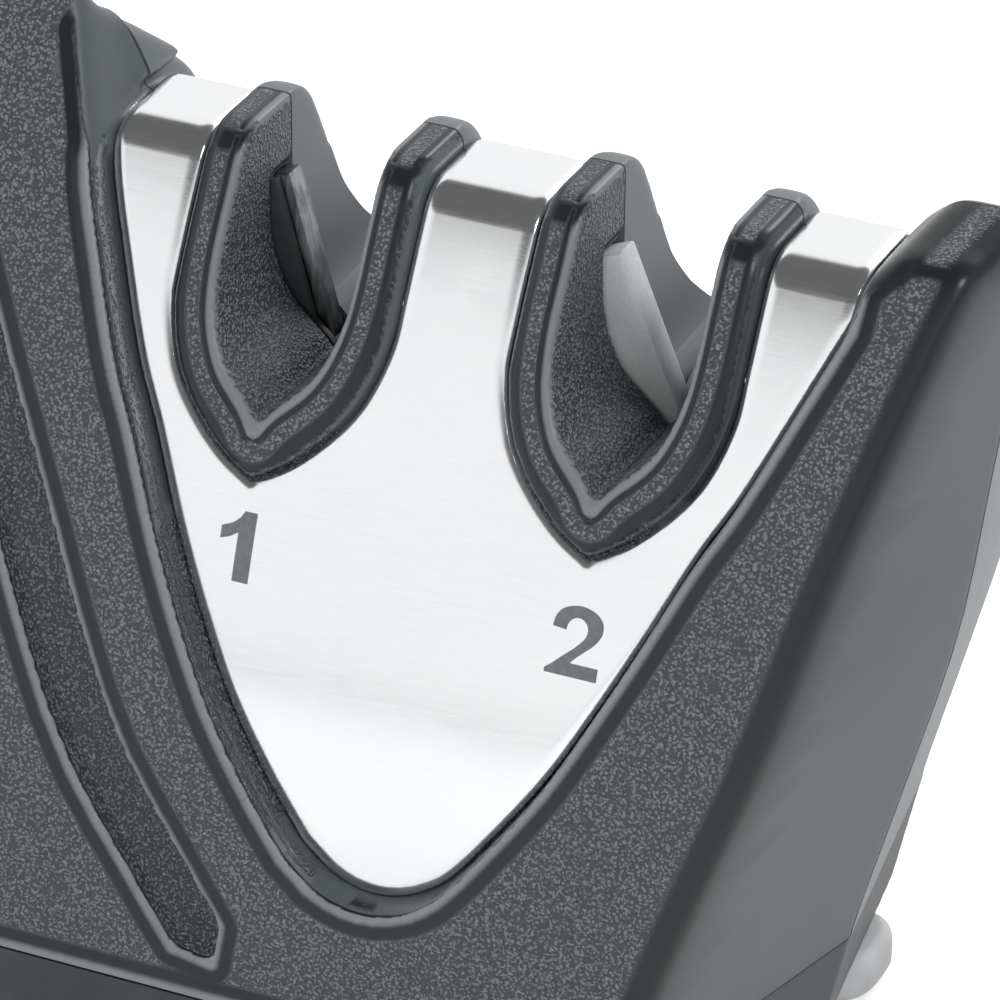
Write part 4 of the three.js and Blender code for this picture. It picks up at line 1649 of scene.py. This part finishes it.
    def _roll(self, sheet: bpy.types.Object, rim: KDTree) -> None:
        """Draws the outer face down beside its edges, and shades it as the smooth curve that it is.

        Args:
            sheet: The divided sheet.
            rim: The edges of its outer face.
        """
        mesh = sheet.data
        rows = coordinates(mesh)
        normals, on_face = self._outer_face(rows)
        found = [rim.find(row) for row in rows[on_face].tolist()]
        far = np.array([spot[2] for spot in found])
        away = rows[on_face] - np.array([spot[0] for spot in found])
        way = self._level_ways(rows[on_face], away, far)
        share = 1 - np.clip(far / self.roll_wide, 0, 1)
        drop = self.roll_deep * (1 - np.sqrt(np.clip(1 - share**2, 0, 1)))
        tilt = self.roll_deep / self.roll_wide * share / np.sqrt(np.clip(1 - share**2, self.steepest, 1))
        face = normals[on_face]
        rows[on_face] -= face * drop[:, None]
        under = distances(rim, rows[~on_face])
        rows[~on_face] -= normals[~on_face] * (self.roll_deep * np.clip(1 - under / self.thick, 0, 1))[:, None]
        leaning = face - way * tilt[:, None]
        normals[on_face] = leaning / np.linalg.norm(leaning, axis=1)[:, None]
        set_coordinates(mesh, rows)
        self._shade(sheet, normals, on_face)

    def _shade(self, sheet: bpy.types.Object, normals: np.ndarray, on_face: np.ndarray) -> None:
        """Gives the outer face's corners their own normals, and every other face its flat one.

        Args:
            sheet: The rolled sheet.
            normals: A normal for each vertex.
            on_face: Which vertices are on the outer face.
        """
        smooth_shade(sheet, self.shade_angle)
        mesh = sheet.data
        corners = np.zeros(len(mesh.loops), np.int32)
        mesh.loops.foreach_get("vertex_index", corners)
        first = np.zeros(len(mesh.polygons), np.int32)
        mesh.polygons.foreach_get("loop_start", first)
        sides = np.diff(np.append(first, len(corners)))
        on_outer = np.minimum.reduceat(on_face[corners].astype(int), first) == 1
        flat = np.zeros(len(mesh.polygons) * 3, np.float32)
        mesh.polygons.foreach_get("normal", flat)
        own = np.repeat(flat.reshape(-1, 3), sides, axis=0)
        kept = np.where(np.repeat(on_outer, sides)[:, None], normals[corners], own)
        mesh.normals_split_custom_set(kept.tolist())

    def _level_ways(self, rows: np.ndarray, away: np.ndarray, far: np.ndarray) -> np.ndarray:
        """The direction away from the edge at each row, evened out over its neighbours.

        Args:
            rows: Places on the outer face.
            away: From the nearest edge point to each of them.
            far: The length of each of those.

        Returns:
            Directions of length 1.
        """
        near = np.nonzero(far < self.roll_wide)[0]
        tree = tree_of([Vector(row) for row in rows[near].tolist()])
        ways = away / np.maximum(far, 1e-6)[:, None]
        for i in near:
            found = [near[spot[1]] for spot in tree.find_range(rows[i].tolist(), self.level)]
            total = away[found].sum(axis=0)
            ways[i] = total / max(np.linalg.norm(total), 1e-9)
        return ways

    def _outer_face(self, rows: np.ndarray) -> tuple[np.ndarray, np.ndarray]:
        """The saddle's normal at each row, and whether the row lies on its outer face.

        Args:
            rows: Places on the sheet.

        Returns:
            The normals, and which rows are on the outer face.
        """
        path = np.array(self.section.outline(0, self.fine_path_steps))
        spots = [Vector((0, y, z)) for y, z in path]
        spots = [p for a, b in zip(spots, spots[1:]) for p in lengthwise(a, b, self.path_step)]
        ways = np.gradient(np.array(spots), axis=0)
        tree = tree_of(spots)
        found = [tree.find((0, y, z)) for _, y, z in rows.tolist()]
        way = ways[[spot[1] for spot in found]]
        normals = np.stack([np.zeros(len(rows)), -way[:, 2], way[:, 1]], 1)
        normals /= np.maximum(np.linalg.norm(normals, axis=1), 1e-12)[:, None]
        return normals, np.array([spot[2] for spot in found]) < self.face_slack


@dataclass
class StageNumbers:
    """The printed numbers of the two stages."""

    head: HeadFrame
    section: Section
    height: float = 5.5 * MM
    film: float = 0.05 * MM
    lift: float = 1.1
    longest: float = 0.5 * MM
    two_wide: float = 1.2
    one: tuple[Point, ...] = ((0.28, 0), (0.54, 0), (0.54, 1), (0.34, 1), (0.28, 0.9), (0.17, 0.81), (0, 0.74),
                              (0, 0.56), (0.15, 0.61), (0.28, 0.69))
    two_outside: tuple[Point, ...] = ((0.03, 0.66), (0.06, 0.82), (0.16, 0.94), (0.36, 1), (0.56, 0.95),
                                      (0.67, 0.83), (0.68, 0.67), (0.6, 0.51), (0.48, 0.38), (0.37, 0.26),
                                      (0.32, 0.19))
    two_foot: tuple[Point, ...] = ((0.69, 0.19), (0.69, 0), (0, 0), (0, 0.06))
    two_inside: tuple[Point, ...] = ((0.1, 0.15), (0.2, 0.26), (0.32, 0.38), (0.42, 0.5), (0.48, 0.6),
                                     (0.49, 0.72), (0.43, 0.81), (0.35, 0.835), (0.27, 0.8), (0.22, 0.72),
                                     (0.21, 0.64))
    spots: tuple[Point, ...] = ((-15.4 * MM, 53.1 * MM), (15.1 * MM, 52.0 * MM))

    def build(self, paintbox: Paintbox) -> None:
        """Makes one thin piece for each number.

        Args:
            paintbox: Where the ink comes from.
        """
        two = [*spline(self.two_outside, 5), *self.two_foot, *spline(self.two_inside, 5)]
        glyphs = (("1", list(self.one), 1, self.spots[0]), ("2", two, self.two_wide, self.spots[1]))
        for word, outline, wide, (x, z) in glyphs:
            half = max(u for u, _ in outline) / 2
            placed = [((u - half) * wide * self.height + x, (v - 0.5) * self.height + z) for u, v in outline]
            obj = prism(f"stage_number_{word}", placed, 0, self.film, ALONG_Y)
            self._lay(obj)
            paintbox.apply(obj, Finish.INK)

    def _lay(self, obj: bpy.types.Object) -> None:
        """Lays a number on the plate's curve as a thin film.

        Args:
            obj: The flat number.
        """
        bm = bmesh.new()
        bm.from_mesh(obj.data)
        bmesh.ops.triangulate(bm, faces=bm.faces)
        for _ in range(2):
            bmesh.ops.subdivide_edges(bm, edges=[e for e in bm.edges if e.calc_length() > self.longest], cuts=1)
            bmesh.ops.triangulate(bm, faces=[f for f in bm.faces if len(f.verts) > 3])
        for vert in bm.verts:
            depth = float(self.section.depth(vert.co.z, self.section.front_corner, 0))
            vert.co.y = vert.co.y - depth - self.film * self.lift
        bmesh.ops.translate(bm, verts=bm.verts, vec=self.head.place(0, 0, 0))
        bmesh.ops.recalc_face_normals(bm, faces=bm.faces)
        bm.to_mesh(obj.data)
        bm.free()


@dataclass
class Stages:
    """The holders and the bars that sharpen, with ground or moulded edges."""

    holder_round: float = 0.25 * MM
    bar_round: float = 0.12 * MM
    edge_angle: float = 35
    shade_angle: float = 32

    def build(self, paintbox: Paintbox) -> None:
        """Makes every holder and bar.

        Args:
            paintbox: Where the finishes come from.
        """
        for stage, bar, finish in (("coarse", "carbide", Finish.CARBIDE), ("fine", "ceramic", Finish.CERAMIC)):
            for end in ("front", "rear"):
                self._rounded(f"{stage}_holder_{end}", self.holder_round, Finish.INNER, paintbox)
            for hand in ("left", "right"):
                self._rounded(f"{bar}_bar_{hand}", self.bar_round, finish, paintbox)

    @staticmethod
    def _rounded(node: str, width: float, finish: Finish, paintbox: Paintbox) -> None:
        """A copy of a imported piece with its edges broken.

        Args:
            node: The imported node.
            width: How wide the rounding is.
            finish: The piece's finish.
            paintbox: Where it comes from.
        """
        obj = merged_copy(node, f"{node}_part")
        break_edges(obj, width, Stages.edge_angle)
        smooth_shade(obj, Stages.shade_angle)
        paintbox.apply(obj, finish, node)


@dataclass
class Base:
    """The tray under the head, the cap under the handle's end and the soft feet."""

    joints: dict[str, JointFace]
    voxel: float = 0.4 * MM
    passes: int = 5
    foot_passes: int = 8
    share: float = 0.35
    shade_angle: float = 50

    def build(self, paintbox: Paintbox) -> None:
        """Makes the tray, the cap and the feet.

        Args:
            paintbox: Where the finishes come from.
        """
        for node in ("base_tray", "handle_end_cap"):
            moulding = Moulding((self.joints[node],), self.voxel)
            obj = merged_copy(node, f"{node}_part")
            moulding.blank(obj)
            self._soften(obj, self.passes)
            moulding.trim(obj)
            smooth_shade(obj, self.shade_angle)
            paintbox.apply(obj, Finish.INNER, node)
        for node in sorted(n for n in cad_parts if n.startswith("foot_") or n == "handle_foot"):
            obj = merged_copy(node, f"{node}_part")
            Moulding((), self.voxel).blank(obj)
            self._soften(obj, self.foot_passes)
            smooth_shade(obj)
            paintbox.apply(obj, Finish.RUBBER, node)

    def _soften(self, obj: bpy.types.Object, passes: int) -> None:
        """Rounds the edges and thins out the flat places.

        Args:
            obj: The piece.
            passes: How many smoothing passes it gets.
        """
        modifier(obj, "SMOOTH", factor=0.5, iterations=passes)
        modifier(obj, "DECIMATE", ratio=self.share)
        settle(obj)


@dataclass
class Screws:
    """The screws, with their sharp edges broken."""

    edge: float = 0.15 * MM
    edge_angle: float = 50
    shade_angle: float = 40

    def build(self, paintbox: Paintbox) -> None:
        """Makes every screw.

        Args:
            paintbox: Where the finish comes from.
        """
        for node in sorted(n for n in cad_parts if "_screw_" in n):
            obj = merged_copy(node, f"{node}_part")
            break_edges(obj, self.edge, self.edge_angle)
            smooth_shade(obj, self.shade_angle)
            paintbox.apply(obj, Finish.SCREW, node)


# Studio


@dataclass(frozen=True)
class SoftBox:
    """An area lamp, and whether it shows in glossy surfaces."""

    name: str
    spot: tuple[float, float, float]
    size: float
    power: float
    glossy: bool


@dataclass
class Studio:
    """Camera, floor and soft light."""

    head: HeadFrame
    azimuth: float = 24.90
    elevation: float = 29.34
    roll: float = 0.388
    distance: float = 0.602
    lens: float = 262.24
    sensor: float = 36.0
    target: tuple[float, float, float] = (-0.366 * MM, 0.0, 51.607 * MM)
    floor_size: float = 6.0
    sky_axis: tuple[float, float, float] = (0.0, -0.24, 0.97)
    sky_fade: Point = (0.658, 0.715)
    overhead: float = 0.13
    side_fade: Point = (0.25, 0.7)
    right_side: float = 0.55
    boxes: tuple[SoftBox, ...] = (
        SoftBox("key", (-0.9, -0.5, 0.9), 0.5, 7.0, False),
        SoftBox("rim", (0.75, -0.48, 0.85), 0.35, 5.0, True),
        SoftBox("back", (0.2, 0.9, 0.8), 0.5, 5.0, True),
    )

    def build(self) -> None:
        """Sets up everything that isn't the object."""
        self._camera()
        self._floor()
        self._world()
        self._lamps()

    def _camera(self) -> None:
        """The camera at the photograph's angle and framing."""
        a, e, r = (math.radians(v) for v in (self.azimuth, self.elevation, self.roll))
        back = Vector((math.sin(a) * math.cos(e), -math.cos(a) * math.cos(e), math.sin(e)))
        level = Vector((math.cos(a), math.sin(a), 0))
        up = back.cross(level)
        right = math.cos(r) * level + math.sin(r) * up
        above = math.cos(r) * up - math.sin(r) * level
        spot = self.head.place(*self.target) + back * self.distance
        data = bpy.data.cameras.new("camera")
        data.sensor_width = self.sensor
        data.lens = self.lens
        data.clip_start = 0.05
        data.clip_end = 20
        camera = bpy.data.objects.new("camera", data)
        camera.matrix_world = Matrix((
            (right.x, above.x, back.x, spot.x),
            (right.y, above.y, back.y, spot.y),
            (right.z, above.z, back.z, spot.z),
            (0, 0, 0, 1)))
        bpy.context.scene.collection.objects.link(camera)
        bpy.context.scene.camera = camera

    def _floor(self) -> None:
        """A pale floor that looks white to the camera and to glossy surfaces, but keeps the shadow."""
        bm = bmesh.new()
        bmesh.ops.create_grid(bm, x_segments=1, y_segments=1, size=self.floor_size / 2)
        floor = from_bmesh("floor", bm)
        material = bpy.data.materials.new("floor")
        material.use_nodes = True
        tree = Tree(material.node_tree)
        path = tree.node("ShaderNodeLightPath", output="Is Camera Ray")
        glossy = tree.node("ShaderNodeLightPath", output="Is Glossy Ray")
        diffuse = tree.node("ShaderNodeBsdfDiffuse", {}, {"Color": (0.8, 0.8, 0.8, 1)})
        glow = tree.node("ShaderNodeEmission", {}, {"Color": (1, 1, 1, 1), "Strength": path * 0.4 + glossy * 0.2})
        both = tree.node("ShaderNodeAddShader", {}, {0: diffuse, 1: glow})
        tree.node("ShaderNodeOutputMaterial", {}, {"Surface": both})
        floor.data.materials.append(material)

    def _world(self) -> None:
        """A studio sky: pale at the horizon, darker overhead, white to the camera."""
        world = bpy.data.worlds.new("studio")
        bpy.context.scene.world = world
        world.use_nodes = True
        tree = Tree(world.node_tree)
        direction = tree.node("ShaderNodeTexCoord", output="Generated")
        height = tree.node("ShaderNodeVectorMath", {"operation": "DOT_PRODUCT"},
                           {0: direction, 1: self.sky_axis}, output="Value")
        side = tree.node("ShaderNodeSeparateXYZ", {}, {0: direction}, output="X")
        level = tree.limit(height, *self.sky_fade, 1.0, self.overhead)
        shade = tree.limit(side, *self.side_fade, 1.0, self.right_side)
        lit = level * shade
        camera = tree.node("ShaderNodeLightPath", output="Is Camera Ray")
        strength = camera * (1 - lit) + lit
        sky = tree.node("ShaderNodeBackground", {}, {"Color": (1, 1, 1, 1), "Strength": strength})
        tree.node("ShaderNodeOutputWorld", {}, {"Surface": sky})

    def _lamps(self) -> None:
        """The soft boxes, each aimed at the head."""
        for box in self.boxes:
            data = bpy.data.lights.new(box.name, "AREA")
            data.size = box.size
            data.energy = box.power
            lamp = bpy.data.objects.new(box.name, data)
            lamp.location = self.head.place(*box.spot)
            aim = self.head.place(0, 0, 50 * MM) - lamp.location
            lamp.rotation_mode = "QUATERNION"
            lamp.rotation_quaternion = aim.to_track_quat("-Z", "Y")
            lamp.visible_camera = False
            lamp.visible_glossy = box.glossy
            bpy.context.scene.collection.objects.link(lamp)


def joint_faces(head: HeadFrame, half_gap: float = 0.12 * MM, seat: float = 0.3 * MM) -> dict[str, JointFace]:
    """The flat faces where the moulded pieces meet.

    Args:
        head: Where the parting plane is.
        half_gap: Half of the seam that shows between two pieces.
        seat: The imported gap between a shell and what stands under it.

    Returns:
        Each face by the name of its piece, or of the seam for the shells' undersides.
    """
    parting = head.parting_y
    faces = {
        "front_shell": JointFace(1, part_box("front_shell")[1].y, parting - half_gap, 1),
        "rear_shell": JointFace(1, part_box("rear_shell")[0].y, parting + half_gap, -1),
    }
    for node, seam in (("base_tray", "shell_on_tray"), ("handle_end_cap", "shell_on_cap")):
        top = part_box(node)[1].z
        middle = top + seat / 2
        faces[node] = JointFace(2, top, middle - half_gap, 1)
        faces[seam] = JointFace(2, top + seat, middle + half_gap, -1)
    return faces


def main() -> None:
    """Builds the sharpener's pieces and the studio around them."""
    logging.basicConfig(level=logging.INFO, format="%(name)s %(message)s")
    head = HeadFrame.from_pack()
    section = Section()
    shapes = FrontShapes()
    paintbox = Paintbox()
    Studio(head).build()
    joints = joint_faces(head)
    under = (joints["shell_on_tray"], joints["shell_on_cap"])
    MouldedShell(head, section, shapes, "front_shell", section.front_corner, section.rim_proud, -1, True,
                 (joints["front_shell"], *under)).build(paintbox)
    MouldedShell(head, section, shapes, "rear_shell", section.rear_corner, section.rear_proud, 1, False,
                 (joints["rear_shell"], *under)).build(paintbox)
    SteelCover(head, section, shapes).build(paintbox)
    StageNumbers(head, section).build(paintbox)
    Stages().build(paintbox)
    Base(joints).build(paintbox)
    Screws().build(paintbox)
    bpy.context.scene.view_settings.view_transform = "Standard"


if __name__ == "__main__":
    main()
